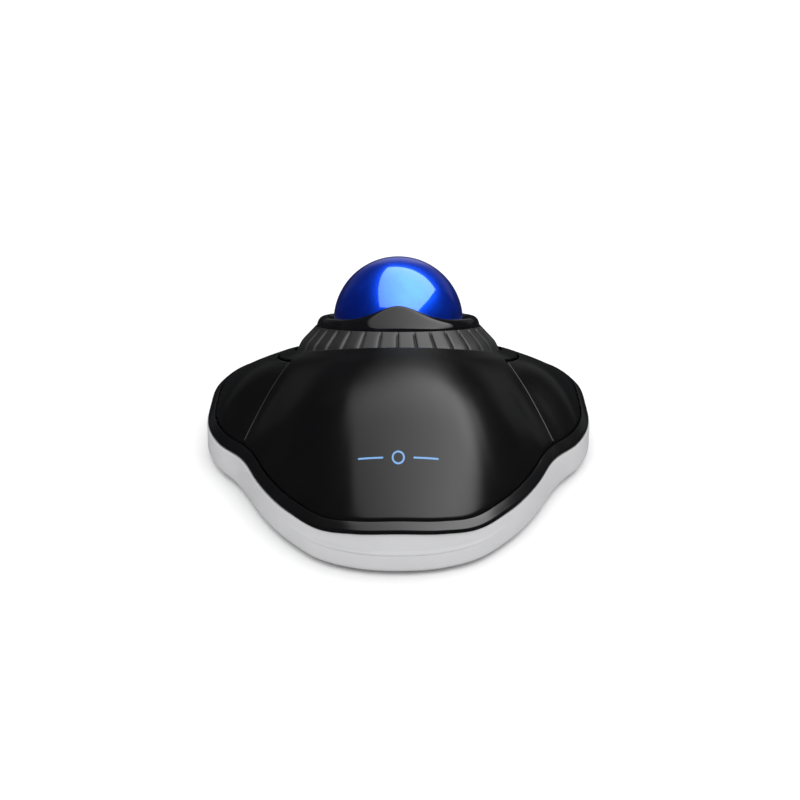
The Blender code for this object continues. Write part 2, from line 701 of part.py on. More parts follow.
def board_parts(bench):
    chip = Vector((9.0, 9.0, 1.4)) * MM
    bench.add("controller_chip", box("controller_chip", on_board(0, -1, chip), chip), "component black")
    plug = Vector((9.0, 4.2, 4.5)) * MM
    bench.add("cable_header", box("cable_header", on_board(18, 47.5, plug), plug), "white plastic")
    foot = PART_LEVEL
    can = turned("capacitor", ((0, foot), (2.5 * MM, foot), (2.5 * MM, foot + 6.4 * MM), (2.1 * MM, foot + 6.8 * MM),
                               (0, foot + 6.8 * MM)), 20)
    can.transform(Matrix.Translation((-16 * MM, -4 * MM, 0)))
    bench.add("capacitor", can, "steel")


def button_switch(bench, side, name):
    """Micro switch and its small plunger, under one button's post."""
    place = switch_place(side)
    middle = Vector((place.x, place.y, PART_LEVEL + SWITCH_SIZE.z / 2))
    body = bench.add(name, box(name, middle, SWITCH_SIZE), "component black")
    top = PART_LEVEL + SWITCH_SIZE.z
    slot = box("slot", Vector((place.x, place.y, top)), Vector((2.0, 3.6, 5.0)) * MM)
    boolean(body, "DIFFERENCE", bench.helper(f"{name}_slot", slot))
    height = 2.4 * MM
    centre = Vector((place.x, place.y, top + PLUNGER_RISE - height / 2))
    plunger = box("plunger", centre, Vector((1.3, 2.9, height / MM)) * MM)
    bench.add(f"{name}_plunger", plunger, "white plastic", origin=centre)


def scroll_sensor(bench):
    """Light gate: a block with two arms, one each side of the encoder ring."""
    block = box("scroll_sensor", Vector((0, 27.7 * MM, -17.0 * MM)), Vector((7.6, 7.6, 5.4)) * MM)
    gate = bench.add("scroll_sensor", block, "component black", parent=bench.hub)
    gap = box("gate_gap", Vector((0, 27.7 * MM, -15.2 * MM)), Vector((12.0, 2.6, 4.2)) * MM)
    boolean(gate, "DIFFERENCE", bench.helper("gate_gap", gap, bench.hub))


# ---- Fasteners, feet, gland and label ----


def screw_mesh(name, head_radius, head_height, shaft_radius, length):
    """Pan head at the bottom, shaft upward, with a cross recess left to the finish."""
    profile = (
        (0, 0), (head_radius * 0.8, 0), (head_radius, head_height * 0.4), (head_radius, head_height),
        (shaft_radius, head_height), (shaft_radius, head_height + length), (0, head_height + length),
    )
    return turned(name, profile, 12)


def screws(bench):
    for number, place in enumerate(leg_places(), 1):
        mesh = screw_mesh("base_screw", 2.4 * MM, 0.8 * MM, 1.1 * MM, 7.5 * MM)
        mesh.transform(Matrix.Translation((place.x, place.y, FLOOR_BOTTOM)))
        bench.add(f"base_screw_{number}", mesh, "steel")
    for number, (x, y) in enumerate(BOARD_SCREW_PLACES, 1):
        mesh = screw_mesh("board_screw", 2.4 * MM, 1.2 * MM, 0.8 * MM, 3.8 * MM)
        mesh.transform(Matrix.Translation((x * MM, y * MM, BOARD_TOP + GAP + 1.2 * MM)) @ Matrix.Rotation(math.pi, 4, "X"))
        bench.add(f"board_screw_{number}", mesh, "steel")
    for number, angle in enumerate(EAR_ANGLES, 1):
        mesh = screw_mesh("cup_screw", 1.8 * MM, 0.9 * MM, 0.65 * MM, 6.5 * MM)
        mesh.transform(Matrix.Translation(turned_point(EAR_CIRCLE, angle, -21.5 * MM)))
        bench.add(f"cup_screw_{number}", mesh, "steel", parent=bench.hub)


def feet(bench):
    for number, (x, y) in enumerate(FOOT_PLACES, 1):
        pad = upright("foot", x * MM, y * MM, 0, FOOT_HEIGHT, 5 * MM, 28)
        bench.add(f"foot_{number}", pad, "foot rubber")


def cable_gland(bench):
    """Bush in the far wall that the cord passes through, with a flange inside."""
    profile = ((1.6, 0), (2.65, 0), (2.65, 1.2), (2.0, 1.2), (2.0, 3.5), (1.6, 3.5))
    mesh = turned("cable_gland", [(r * MM, h * MM) for r, h in profile], 24)
    far = outline(180, WALL, CABLE_HEIGHT)
    place = Matrix.Translation(far - Vector((0, 1.5 * MM, 0))) @ Matrix.Rotation(-math.pi / 2, 4, "X")
    mesh.transform(place)
    bench.add("cable_gland", mesh, "foot rubber")


def rating_label(bench):
    """Blank sticker under the base."""
    thickness = 0.2 * MM
    centre = Vector((0, -24 * MM, FLOOR_BOTTOM - GAP - thickness / 2))
    bench.add("rating_label", box("rating_label", centre, Vector((36 * MM, 16 * MM, thickness))), "silver paper")


def main():
    clear_scene()
    bench = Bench()
    base_shell(bench)
    rim_trim(bench)
    top_cover(bench)
    for side, name in ((-1, "left"), (1, "right")):
        button(bench, side, f"{name}_button")
        button_switch(bench, side, f"{name}_switch")
    ball(bench)
    collar(bench)
    scroll_ring(bench)
    encoder_ring(bench)
    chassis(bench)
    ball_cup(bench)
    support_balls(bench)
    main_board(bench)
    optical_sensor(bench)
    board_parts(bench)
    scroll_sensor(bench)
    screws(bench)
    feet(bench)
    cable_gland(bench)
    rating_label(bench)


main()
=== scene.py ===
"""Looks of a desktop trackball with a scroll ring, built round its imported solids.

Metres, +Z up, -Y toward the user. Angles round the plan and round the leaning hub are in
degrees from the user's side toward +X. Sizes in the classes are in millimetres unless a
field says otherwise, and become metres where the points are made.
"""

import json
import logging
import math
from collections.abc import Callable, Iterable, Sequence
from dataclasses import dataclass, field
from enum import Enum

import bmesh
import bpy
import numpy as np
from mathutils import Matrix, Vector
from mathutils.bvhtree import BVHTree

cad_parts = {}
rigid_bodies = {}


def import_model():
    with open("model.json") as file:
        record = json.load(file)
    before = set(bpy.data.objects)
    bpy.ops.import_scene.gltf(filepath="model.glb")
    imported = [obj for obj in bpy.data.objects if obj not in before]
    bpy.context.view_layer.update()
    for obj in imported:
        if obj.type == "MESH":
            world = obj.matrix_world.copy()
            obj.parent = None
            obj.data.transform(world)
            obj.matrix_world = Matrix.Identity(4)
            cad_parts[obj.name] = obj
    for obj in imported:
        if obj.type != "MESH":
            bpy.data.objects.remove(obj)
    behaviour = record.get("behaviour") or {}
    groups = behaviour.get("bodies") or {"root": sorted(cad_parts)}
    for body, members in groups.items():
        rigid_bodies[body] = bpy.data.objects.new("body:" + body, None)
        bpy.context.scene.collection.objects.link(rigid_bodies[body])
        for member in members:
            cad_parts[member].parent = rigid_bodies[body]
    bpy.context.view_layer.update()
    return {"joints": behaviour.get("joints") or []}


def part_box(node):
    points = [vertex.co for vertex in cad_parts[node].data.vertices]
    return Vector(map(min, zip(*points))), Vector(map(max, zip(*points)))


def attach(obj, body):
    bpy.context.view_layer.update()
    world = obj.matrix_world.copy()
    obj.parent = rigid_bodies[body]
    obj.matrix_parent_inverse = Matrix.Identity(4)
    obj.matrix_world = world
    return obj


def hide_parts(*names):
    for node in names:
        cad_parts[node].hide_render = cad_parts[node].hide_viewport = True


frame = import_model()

MM = 0.001
log = logging.getLogger("trackball")

Pair = tuple[float, float]
Knots = Sequence[Pair]
Triple = tuple[float, float, float]
Colour = Triple
Step = tuple[str, dict]
Number = float | np.ndarray
Mesh = bpy.types.Mesh
Object = bpy.types.Object
Material = bpy.types.Material
Socket = bpy.types.NodeSocket


class Body(Enum):
    """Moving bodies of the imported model."""

    HOUSING = "housing"
    BALL = "ball"
    SCROLL_RING = "scroll_ring"
    LEFT_BUTTON = "left_button"
    RIGHT_BUTTON = "right_button"
    LEFT_PLUNGER = "left_plunger"
    RIGHT_PLUNGER = "right_plunger"


class Slot(Enum):
    """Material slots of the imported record."""

    BASE = "light_grey_plastic"
    RIM = "rim_plastic"
    COVER = "satin_black_plastic"
    COLLAR = "gloss_black_plastic"
    RING = "grey_rubber"
    BALL = "blue_ball"
    NYLON = "black_nylon"
    RUBY = "ruby"
    CLEAR = "clear_plastic"
    COMPONENT = "component_black"
    BOARD = "green_board"
    WHITE = "white_plastic"
    STEEL = "steel"
    CAN = "steel_can"
    FOOT = "foot_rubber"
    PAPER = "silver_paper"


class Side(Enum):
    """Left or right of the object's centre plane, as the sign of x."""

    LEFT = -1
    RIGHT = 1


# ---- Curves and surfaces ----


def span(t: Number, first: Number, slope_in: Number, last: Number, slope_out: Number) -> Number:
    """Point at share t of a cubic piece with these ends and, times its width, these slopes."""
    return (
        (2 * t**3 - 3 * t**2 + 1) * first
        + (t**3 - 2 * t**2 + t) * slope_in
        + (3 * t**2 - 2 * t**3) * last
        + (t**3 - t**2) * slope_out
    )


def smooth(knots: Knots, at: Number) -> np.ndarray:
    """Reads the smooth curve through the knots, which is level at both ends.

    Args:
        knots: (position, value) pairs in rising order.
        at: Positions to read.

    Returns:
        The values there.
    """
    places, values = np.array(knots, float).T
    slopes = np.zeros(len(places))
    slopes[1:-1] = (values[2:] - values[:-2]) / (places[2:] - places[:-2])
    i = np.clip(np.searchsorted(places, at, "right") - 1, 0, len(places) - 2)
    width = places[i + 1] - places[i]
    t = np.clip((at - places[i]) / width, 0.0, 1.0)
    return span(t, values[i], width * slopes[i], values[i + 1], width * slopes[i + 1])


def wrapped(angle: Number) -> Number:
    """Angle from 0 to 180 that means the same place, because the object is symmetric."""
    return np.abs((angle + 180.0) % 360.0 - 180.0)


def stacked(x: np.ndarray, y: np.ndarray, z: np.ndarray) -> np.ndarray:
    """Points from their coordinates, spread over one another where one of them is single."""
    return np.stack(np.broadcast_arrays(x, y, z), axis=-1).astype(float)


def flowing(points: Sequence[Sequence[float]], each: int) -> np.ndarray:
    """Draws a smooth chain through points, passing through every one.

    Args:
        points: Corners of the chain, in any number of dimensions.
        each: Steps from one point to the next.

    Returns:
        The chain's points.
    """
    corners = np.array(points, float)
    before = np.vstack([2 * corners[0] - corners[1], corners[:-1]])
    after = np.vstack([corners[1:], 2 * corners[-1] - corners[-2]])
    slopes = (after - before) / 2
    t = (np.arange(each) / each)[:, None]
    ends = zip(corners[:-1], slopes[:-1], corners[1:], slopes[1:])
    return np.vstack([*(span(t, *end) for end in ends), corners[-1:]])


def arc(radii: Pair, degrees: Pair, count: int, centre: Pair = (0.0, 0.0)) -> list[Pair]:
    """Draws a round stretch of a profile.

    Args:
        radii: Its half width and half height.
        degrees: Where it starts and ends, anticlockwise from the right.
        count: Number of corners.
        centre: Its middle.

    Returns:
        The corners.
    """
    turns = np.radians(np.linspace(*degrees, count))
    return [(centre[0] + radii[0] * math.cos(t), centre[1] + radii[1] * math.sin(t)) for t in turns]


def extent(node: str) -> tuple[Vector, Vector]:
    """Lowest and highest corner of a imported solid, in millimetres."""
    low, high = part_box(node)
    return low / MM, high / MM


@dataclass(frozen=True)
class Plan:
    """Plan outline of the housing: a bell-shaped palm end, a waist and two wide wings."""

    centre_y: float = 20.0
    reach: Knots = (
        (0, 86.5), (8, 85.8), (16, 82.9), (24, 76.8), (36, 68.0), (46, 62.2), (55, 59.6),
        (65, 60.0), (76, 59.8), (90, 58.3), (104, 58.3), (116, 56.5), (131, 51.6), (156, 47.8), (180, 46.5),
    )
    wall_top: Knots = (
        (0, 13.3), (9, 12.3), (15, 11.2), (22, 11.0), (40, 11.0), (48, 11.7), (60, 10.3), (75, 9.8),
        (115, 9.5), (135, 9.2), (180, 9.3),
    )

    def edge(self, angle: np.ndarray) -> np.ndarray:
        """Points of the outline at height 0, in millimetres."""
        far, turn = smooth(self.reach, wrapped(angle)), np.radians(angle)
        return stacked(far * np.sin(turn), self.centre_y - far * np.cos(turn), np.zeros_like(far))

    def point(self, angle: np.ndarray, inset: Number, height: Number) -> np.ndarray:
        """Finds points inside the outline.

        Args:
            angle: Directions from the plan centre.
            inset: Distance inside the outline, square to it.
            height: Heights of the points.

        Returns:
            The points, in millimetres.
        """
        nudge = 0.05
        along = self.edge(angle + nudge) - self.edge(angle - nudge)
        along /= np.linalg.norm(along, axis=-1, keepdims=True)
        place = self.edge(angle)
        x = place[..., 0] - along[..., 1] * inset
        y = place[..., 1] + along[..., 0] * inset
        return stacked(x, y, np.asarray(height, float))

    def top(self, angle: np.ndarray) -> np.ndarray:
        """Height of the joint between the base and the rim."""
        return smooth(self.wall_top, wrapped(angle))


@dataclass(frozen=True)
class Hub:
    """The leaning axis that the ball, its bowl, the collar and the scroll ring share."""

    centre: Vector
    lean: float
    ball_radius: float

    @classmethod
    def from_frame(cls) -> "Hub":
        """Reads the ball's place and size, and the ring's axis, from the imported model."""
        low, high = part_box("ball")
        joint = next(j for j in frame["joints"] if j["child"] == Body.SCROLL_RING.value)
        across = Vector(joint["axis"])
        return cls((low + high) / 2, math.atan2(across.y, across.z), (high.x - low.x) / 2)

    def matrix(self) -> Matrix:
        """From the hub's own frame to the object's."""
        return Matrix.Translation(self.centre) @ Matrix.Rotation(-self.lean, 4, "X")

    def point(self, radius: Number, angle: Number, height: Number) -> np.ndarray:
        """Finds points round the axis.

        Args:
            radius: Distances from the axis.
            angle: Directions round it.
            height: Distances along it from the ball's centre.

        Returns:
            The points in the object's frame, in millimetres.
        """
        turn = np.radians(angle)
        local = stacked(radius * np.sin(turn), -radius * np.cos(turn), np.asarray(height, float))
        matrix = np.array(self.matrix())
        return local @ matrix[:3, :3].T + matrix[:3, 3] / MM


@dataclass(frozen=True)
class Skin:
    """The one smooth surface that the palm rest, the nose and the two buttons are cut from."""

    plan: Plan
    hub: Hub
    opening_radius: float = 31.8
    opening_level: float = -8.4
    opening_lift: float = 3.25
    rim_inset: float = 2.9
    rim_rise: float = 3.35
    bezel_width: float = 4.6
    bezel_slope: Knots = ((0, 0.07), (61, 0.40), (90, 0.45), (180, 0.35))
    dome: Knots = ((0, 0.12), (90, 0.5), (115, 0.9), (180, 0.9))
    waist_angle: float = 57.0
    waist_spread: float = 17.0
    softening: float = 0.9

    def ends(self, angle: np.ndarray) -> tuple[np.ndarray, np.ndarray]:
        """The surface's two ends along these directions: at the ring opening and at the rim."""
        lift = self.opening_lift * np.maximum(np.cos(np.radians(angle)), 0.0) ** 2
        inner = self.hub.point(self.opening_radius, angle, self.opening_level + lift)
        return inner, self.plan.point(angle, self.rim_inset, self.plan.top(angle) + self.rim_rise)

    def length(self, angle: np.ndarray) -> np.ndarray:
        """Plan distance from the ring opening to the rim."""
        inner, outer = self.ends(angle)
        return np.hypot(outer[..., 0] - inner[..., 0], outer[..., 1] - inner[..., 1])

    def bezel(self, angle: np.ndarray) -> np.ndarray:
        """Reach at the outer edge of the narrow bezel round the scroll ring."""
        return self.bezel_width / self.length(angle)

    def height(self, angle: np.ndarray, reach: np.ndarray) -> np.ndarray:
        """Works out the surface's height before its creases are softened.

        Args:
            angle: Directions from the user's side.
            reach: 0 at the ring opening and 1 at the rim.

        Returns:
            Heights, in millimetres.
        """
        inner, outer = self.ends(angle)
        side, bezel = wrapped(angle), self.bezel(angle)
        foot = inner[..., 2] - self.bezel_width * smooth(self.bezel_slope, side)
        domed = smooth(self.dome, side)
        straight = domed + (1 - domed) * np.exp(-(((side - self.waist_angle) / self.waist_spread) ** 2))
        power = 2.1 + 1.1 * np.sin(np.radians(np.minimum(side, 90.0))) ** 2
        share = np.maximum((reach - bezel) / (1 - bezel), 0.0)
        fall = straight * share + (1 - straight) * share**power
        on_bezel = inner[..., 2] + (foot - inner[..., 2]) * reach / bezel
        return np.where(reach <= bezel, on_bezel, foot + (outer[..., 2] - foot) * fall)

    def point(self, angle: np.ndarray, reach: np.ndarray) -> np.ndarray:
        """Finds points on the softened surface.

        Args:
            angle: Directions from the user's side.
            reach: 0 at the ring opening and 1 at the rim.

        Returns:
            The points, in millimetres.
        """
        angle, reach = np.broadcast_arrays(np.asarray(angle, float), np.asarray(reach, float))
        inner, outer = self.ends(angle)
        place = inner + (outer - inner) * reach[..., None]
        window = self.softening / self.length(angle)
        offsets = (-1.0, -0.5, 0.0, 0.5, 1.0)
        heights = [self.height(angle, reach + window * offset) for offset in offsets]
        place[..., 2] = np.mean(heights, axis=0)
        return place


# ---- Meshes ----


def mesh_of(name: str, points: np.ndarray, faces: Iterable[Sequence[int]], closed: bool = True) -> Mesh:
    """Makes a tidy mesh in metres.

    Args:
        name: Name of the mesh.
        points: Points in millimetres.
        faces: Corner numbers of each face.
        closed: Whether the mesh is a closed body, whose faces are then turned outward.

    Returns:
        The mesh, with doubles merged and loose points gone.
    """
    mesh = bpy.data.meshes.new(name)
    mesh.from_pydata((np.asarray(points).reshape(-1, 3) * MM).tolist(), [], [list(face) for face in faces])
    bm = bmesh.new()
    bm.from_mesh(mesh)
    bmesh.ops.remove_doubles(bm, verts=bm.verts, dist=1e-6)
    bmesh.ops.delete(bm, geom=[v for v in bm.verts if not v.link_faces], context="VERTS")
    if closed:
        bmesh.ops.recalc_face_normals(bm, faces=bm.faces)
    bm.to_mesh(mesh)
    bm.free()
    return mesh


def kept(name: str, bm: bmesh.types.BMesh) -> Mesh:
    """Turns a working mesh into a plain one and lets it go."""
    mesh = bpy.data.meshes.new(name)
    bm.to_mesh(mesh)
    bm.free()
    return mesh


def listed(name: str, data: bpy.types.ID) -> Object:
    """Adds an object with this data to the scene."""
    obj = bpy.data.objects.new(name, data)
    bpy.context.scene.collection.objects.link(obj)
    return obj


def settled(obj: Object) -> Mesh:
    """The object's mesh with its modifiers run, after which the object is gone."""
    bpy.context.view_layer.update()
    done = bpy.data.meshes.new_from_object(obj.evaluated_get(bpy.context.evaluated_depsgraph_get()))
    bpy.data.objects.remove(obj, do_unlink=True)
    return done


def woven(rows: int, columns: int, join_rows: bool = False, join_columns: bool = False) -> np.ndarray:
    """Lists the cells of a grid of points.

    Args:
        rows: Number of rows.
        columns: Number of points in a row.
        join_rows: Whether the last row meets the first.
        join_columns: Whether each row's last point meets its first.

    Returns:
        Corner numbers by row, column and corner.
    """
    i, j = np.meshgrid(np.arange(rows - 1 + join_rows), np.arange(columns - 1 + join_columns), indexing="ij")
    after, beside = (i + 1) % rows, (j + 1) % columns
    corners = (i * columns + j, after * columns + j, after * columns + beside, i * columns + beside)
    return np.stack(corners, axis=-1)


def loop_of(name: str, sections: np.ndarray) -> Mesh:
    """Closed tube through closed sections that go once round and meet."""
    cells = woven(*sections.shape[:2], join_rows=True, join_columns=True)
    return mesh_of(name, sections, cells.reshape(-1, 4))


def sheet_of(name: str, grid: np.ndarray, keep: np.ndarray | None = None) -> Mesh:
    """Makes an open surface that faces up.

    Args:
        name: Name of the mesh.
        grid: Points by row and column, in millimetres.
        keep: Which cells to keep, or none for all.

    Returns:
        The mesh.
    """
    cells = woven(*grid.shape[:2])
    cells = cells.reshape(-1, 4) if keep is None else cells[keep]
    a, b, d = (grid.reshape(-1, 3)[cells[:, i]] for i in (0, 1, 3))
    if np.cross(b - a, d - a)[:, 2].sum() < 0:
        cells = cells[:, ::-1]
    return mesh_of(name, grid, cells, closed=False)


def turned(name: str, profile: Knots, sides: int = 96) -> Mesh:
    """Turns a closed profile round the z axis.

    Args:
        name: Name of the mesh.
        profile: (radius, height) corners, in millimetres. Corners on the axis close over.
        sides: Number of sides.

    Returns:
        The mesh.
    """
    radius, height = np.array(profile, float).T
    turn = np.linspace(0.0, math.tau, sides, endpoint=False)[:, None]
    points = stacked(radius * np.cos(turn), radius * np.sin(turn), height)
    mesh = loop_of(name, points)
    bm = bmesh.new()
    bm.from_mesh(mesh)
    bmesh.ops.dissolve_degenerate(bm, edges=bm.edges, dist=1e-7)
    bm.to_mesh(mesh)
    bm.free()
    return mesh


def block(name: str, low: Sequence[float], high: Sequence[float], rounding: float = 0.15) -> Mesh:
    """Makes a block with rounded edges.

    Args:
        name: Name of the mesh.
        low: Lowest corner, in millimetres.
        high: Highest corner.
        rounding: Radius of its edges, or 0 for sharp ones.

    Returns:
        The mesh.
    """
    low, high = Vector(low), Vector(high)
    bm = bmesh.new()
    place = Matrix.Translation((low + high) / 2) @ Matrix.Diagonal((*(high - low), 1.0))
    bmesh.ops.create_cube(bm, size=1.0, matrix=Matrix.Scale(MM, 4) @ place)
    if rounding:
        bmesh.ops.bevel(bm, geom=bm.edges, offset=rounding * MM, segments=3, affect="EDGES", profile=0.5)
    return kept(name, bm)


def round_upright(bm: bmesh.types.BMesh, radius: float, segments: int) -> None:
    """Rounds a flat working mesh's upright edges by this radius in millimetres."""
    upright = [e for e in bm.edges if abs(e.verts[0].co.z - e.verts[1].co.z) > 0.05 * MM]
    settings = {"offset": radius * MM, "segments": segments, "affect": "EDGES", "profile": 0.5}
    bmesh.ops.bevel(bm, geom=upright, **settings)


def rod(name: str, start: Sequence[float], end: Sequence[float], radius: float, sides: int = 48) -> Mesh:
    """Makes a plain round cutter or post.

    Args:
        name: Name of the mesh.
        start: Middle of one end, in millimetres.
        end: Middle of the other end.
        radius: Its radius.
        sides: Number of sides.

    Returns:
        The mesh.
    """
    start, end = Vector(start), Vector(end)
    along = end - start
    mesh = turned(name, ((0, 0), (radius, 0), (radius, along.length), (0, along.length)), sides)
    mesh.transform(Matrix.Translation(start * MM) @ along.to_track_quat("Z", "Y").to_matrix().to_4x4())
    return mesh


def joined(name: str, *meshes: Mesh) -> Mesh:
    """Puts several meshes into one without merging them."""
    bm = bmesh.new()
    for mesh in meshes:
        bm.from_mesh(mesh)
    return kept(name, bm)


def moved(mesh: Mesh, matrix: Matrix) -> Mesh:
    """Copy of the mesh, carried by the matrix."""
    copy = mesh.copy()
    copy.transform(matrix)
    return copy


def at(x: float, y: float, z: float) -> Matrix:
    """Carries a mesh by a distance in millimetres."""
    return Matrix.Translation(Vector((x, y, z)) * MM)


def spun(angle: float) -> Matrix:
    """Turns a mesh round z so that what lies toward the user goes to this angle."""
    return Matrix.Rotation(math.radians(angle), 4, "Z")


def worked(mesh: Mesh, *steps: Step) -> Mesh:
    """Runs modifiers on a mesh and keeps the result.

    Args:
        mesh: The mesh to work.
        steps: Modifier types with their settings, in order.

    Returns:
        A plain mesh.
    """
    obj = listed("work", mesh)
    for kind, settings in steps:
        modifier = obj.modifiers.new(kind.title(), kind)
        for key, value in settings.items():
            setattr(modifier, key, value)
    return settled(obj)


def combined(mesh: Mesh, operation: str, *others: Mesh) -> Mesh:
    """Joins bodies on or cuts them away.

    Args:
        mesh: The mesh to change.
        operation: UNION or DIFFERENCE.
        others: Closed bodies, clear of one another.

    Returns:
        A plain mesh.
    """
    helper = listed("cutters", joined("cutters", *others))
    settings = {"operation": operation, "solver": "EXACT", "object": helper, "use_self": False}
    done = worked(mesh, ("BOOLEAN", settings))
    bpy.data.objects.remove(helper, do_unlink=True)
    return done


def eased(mesh: Mesh, width: float, segments: int = 3, angle: float = 30.0) -> Mesh:
    """Rounds a mesh's sharp edges.

    Args:
        mesh: The mesh to work.
        width: Width of the rounding, in millimetres.
        segments: Number of steps across it.
        angle: Edges turning by more than this many degrees are rounded.

    Returns:
        A plain mesh.
    """
    settings = {
        "width": width * MM, "segments": segments, "limit_method": "ANGLE",
        "angle_limit": math.radians(angle), "use_clamp_overlap": False,
    }
    return worked(mesh, ("BEVEL", settings))


def shelled(mesh: Mesh, thickness: float, rounding: float) -> Mesh:
    """Gives an open surface a wall on its inner side, and rounds the wall's edges.

    Args:
        mesh: Open surface whose faces point outward.
        thickness: Thickness of the wall, in millimetres.
        rounding: Width of the rounding.

    Returns:
        A closed mesh.
    """
    wall = {"thickness": thickness * MM, "offset": -1.0, "use_even_offset": True, "use_quality_normals": True}
    return eased(worked(mesh, ("SOLIDIFY", wall)), rounding)


# ---- What repeats ----


def wired(
    tree: bpy.types.NodeTree, kind: str, settings: dict | None = None, links: dict | None = None
) -> bpy.types.Node:
    """Adds a node to a tree.

    Args:
        tree: The tree.
        kind: The node's type.
        settings: Its own settings, which are set first.
        links: Values or links of its inputs, by name or number.

    Returns:
        The node.
    """
    node = tree.nodes.new(kind)
    for key, value in (settings or {}).items():
        setattr(node, key, value)
    for key, value in (links or {}).items():
        value = value.socket if isinstance(value, Value) else value
        if isinstance(value, Socket):
            tree.links.new(value, node.inputs[key])
        elif node.inputs[key].type == "RGBA":
            node.inputs[key].default_value = (*value[:3], 1.0)
        else:
            node.inputs[key].default_value = value
    return node


class Repeater:
    """Geometry Nodes tree that repeats a part along a line and round an axis."""

    INPUTS = (
        ("Part", "NodeSocketGeometry"), ("Count", "NodeSocketInt"), ("Step", "NodeSocketVector"),
        ("Turn", "NodeSocketFloat"), ("Weld", "NodeSocketFloat"), ("Finish", "NodeSocketMaterial"),
    )

    def __init__(self, name: str) -> None:
        """Builds the tree under this name."""
        self.tree = bpy.data.node_groups.new(name, "GeometryNodeTree")
        self.ids = {}
        for label, kind in self.INPUTS:
            item = self.tree.interface.new_socket(label, in_out="INPUT", socket_type=kind)
            self.ids[label] = item.identifier
        self.tree.interface.new_socket("Copies", in_out="OUTPUT", socket_type="NodeSocketGeometry")
        given = wired(self.tree, "NodeGroupInput").outputs
        index = wired(self.tree, "GeometryNodeInputIndex").outputs[0]
        links = {"Vector": given["Step"], "Scale": index}
        step = wired(self.tree, "ShaderNodeVectorMath", {"operation": "SCALE"}, links).outputs[0]
        links = {0: given["Turn"], 1: index}
        turn = wired(self.tree, "ShaderNodeMath", {"operation": "MULTIPLY"}, links).outputs[0]
        links = {"Axis": (0.0, 0.0, 1.0), "Angle": turn}
        spin = wired(self.tree, "FunctionNodeAxisAngleToRotation", None, links).outputs[0]
        shape = None
        for kind, links in (
            ("GeometryNodePoints", {"Count": given["Count"], "Position": step}),
            ("GeometryNodeInstanceOnPoints", {"Instance": given["Part"], "Rotation": spin}),
            ("GeometryNodeRealizeInstances", {}),
            ("GeometryNodeMergeByDistance", {"Distance": given["Weld"]}),
            ("GeometryNodeSetMaterial", {"Material": given["Finish"]}),
            ("NodeGroupOutput", {}),
        ):
            node = wired(self.tree, kind, None, links)
            if shape:
                self.tree.links.new(shape, node.inputs[0])
            shape = node.outputs[0] if node.outputs else None

    def run(
        self,
        part: Mesh,
        count: int,
        step: Sequence[float] = (0, 0, 0),
        turn: float = 0.0,
        weld: float = 1e-4,
        finish: Material | None = None,
    ) -> Mesh:
        """Makes the copies of one part.

        Args:
            part: What is repeated, with its first copy in place.
            count: Number of copies.
            step: Distance from each copy to the next, in millimetres.
            turn: Angle from each copy to the next, in degrees, anticlockwise seen from above.
            weld: Points closer than this are made one, in millimetres.
            finish: Material of the copies.

        Returns:
            A plain mesh.
        """
        obj = listed("repeat", part)
        modifier = obj.modifiers.new("repeat", "NODES")
        modifier.node_group = self.tree
        values = {
            "Count": count, "Step": tuple(x * MM for x in step), "Turn": math.radians(turn),
            "Weld": weld * MM, "Finish": finish,
        }
        for label, value in values.items():
            modifier[self.ids[label]] = value
        return settled(obj)


# ---- Finishes ----


class Value:
    """A number on a shader socket. Sums with it add Math nodes."""

    def __init__(self, paint: "Wiring", socket: Socket) -> None:
        """Wraps one socket."""
        self.paint = paint
        self.socket = socket

    def _math(self, operation: str, first: object, second: object = 0.0) -> "Value":
        """The result of one Math node on two values or numbers."""
        node = self.paint.node("ShaderNodeMath", {"operation": operation}, {0: first, 1: second})
        return Value(self.paint, node.outputs[0])

    def __add__(self, other: object) -> "Value":
        """Sum."""
        return self._math("ADD", self, other)

    __radd__ = __add__

    def __sub__(self, other: object) -> "Value":
        """Difference."""
        return self._math("SUBTRACT", self, other)

    def __rsub__(self, other: object) -> "Value":
        """Difference from a number."""
        return self._math("SUBTRACT", other, self)

    def __mul__(self, other: object) -> "Value":
        """Product."""
        return self._math("MULTIPLY", self, other)

    __rmul__ = __mul__

    def __pow__(self, other: object) -> "Value":
        """Power."""
        return self._math("POWER", self, other)

    def absolute(self) -> "Value":
        """Size without its sign."""
        return self._math("ABSOLUTE", self)

    def sine(self) -> "Value":
        """Sine, of radians."""
        return self._math("SINE", self)

    def between(self, low: float, high: float) -> "Value":
        """Rises smoothly from 0 at low to 1 at high, or falls where high is the lower."""
        settings = {"interpolation_type": "SMOOTHSTEP"}
        links = {"Value": self, "From Min": min(low, high), "From Max": max(low, high)}
        rising = Value(self.paint, self.paint.node("ShaderNodeMapRange", settings, links).outputs[0])
        return rising if high > low else 1.0 - rising


class Wiring:
    """The nodes of one material, light or world while they are being put together."""

    def __init__(self, owner: Material | bpy.types.Light | bpy.types.World) -> None:
        """Empties the owner's node tree."""
        owner.use_nodes = True
        self.tree = owner.node_tree
        self.tree.nodes.clear()

    def node(self, kind: str, settings: dict | None = None, links: dict | None = None) -> bpy.types.Node:
        """Adds a node with these settings and these values or links."""
        return wired(self.tree, kind, settings, links)


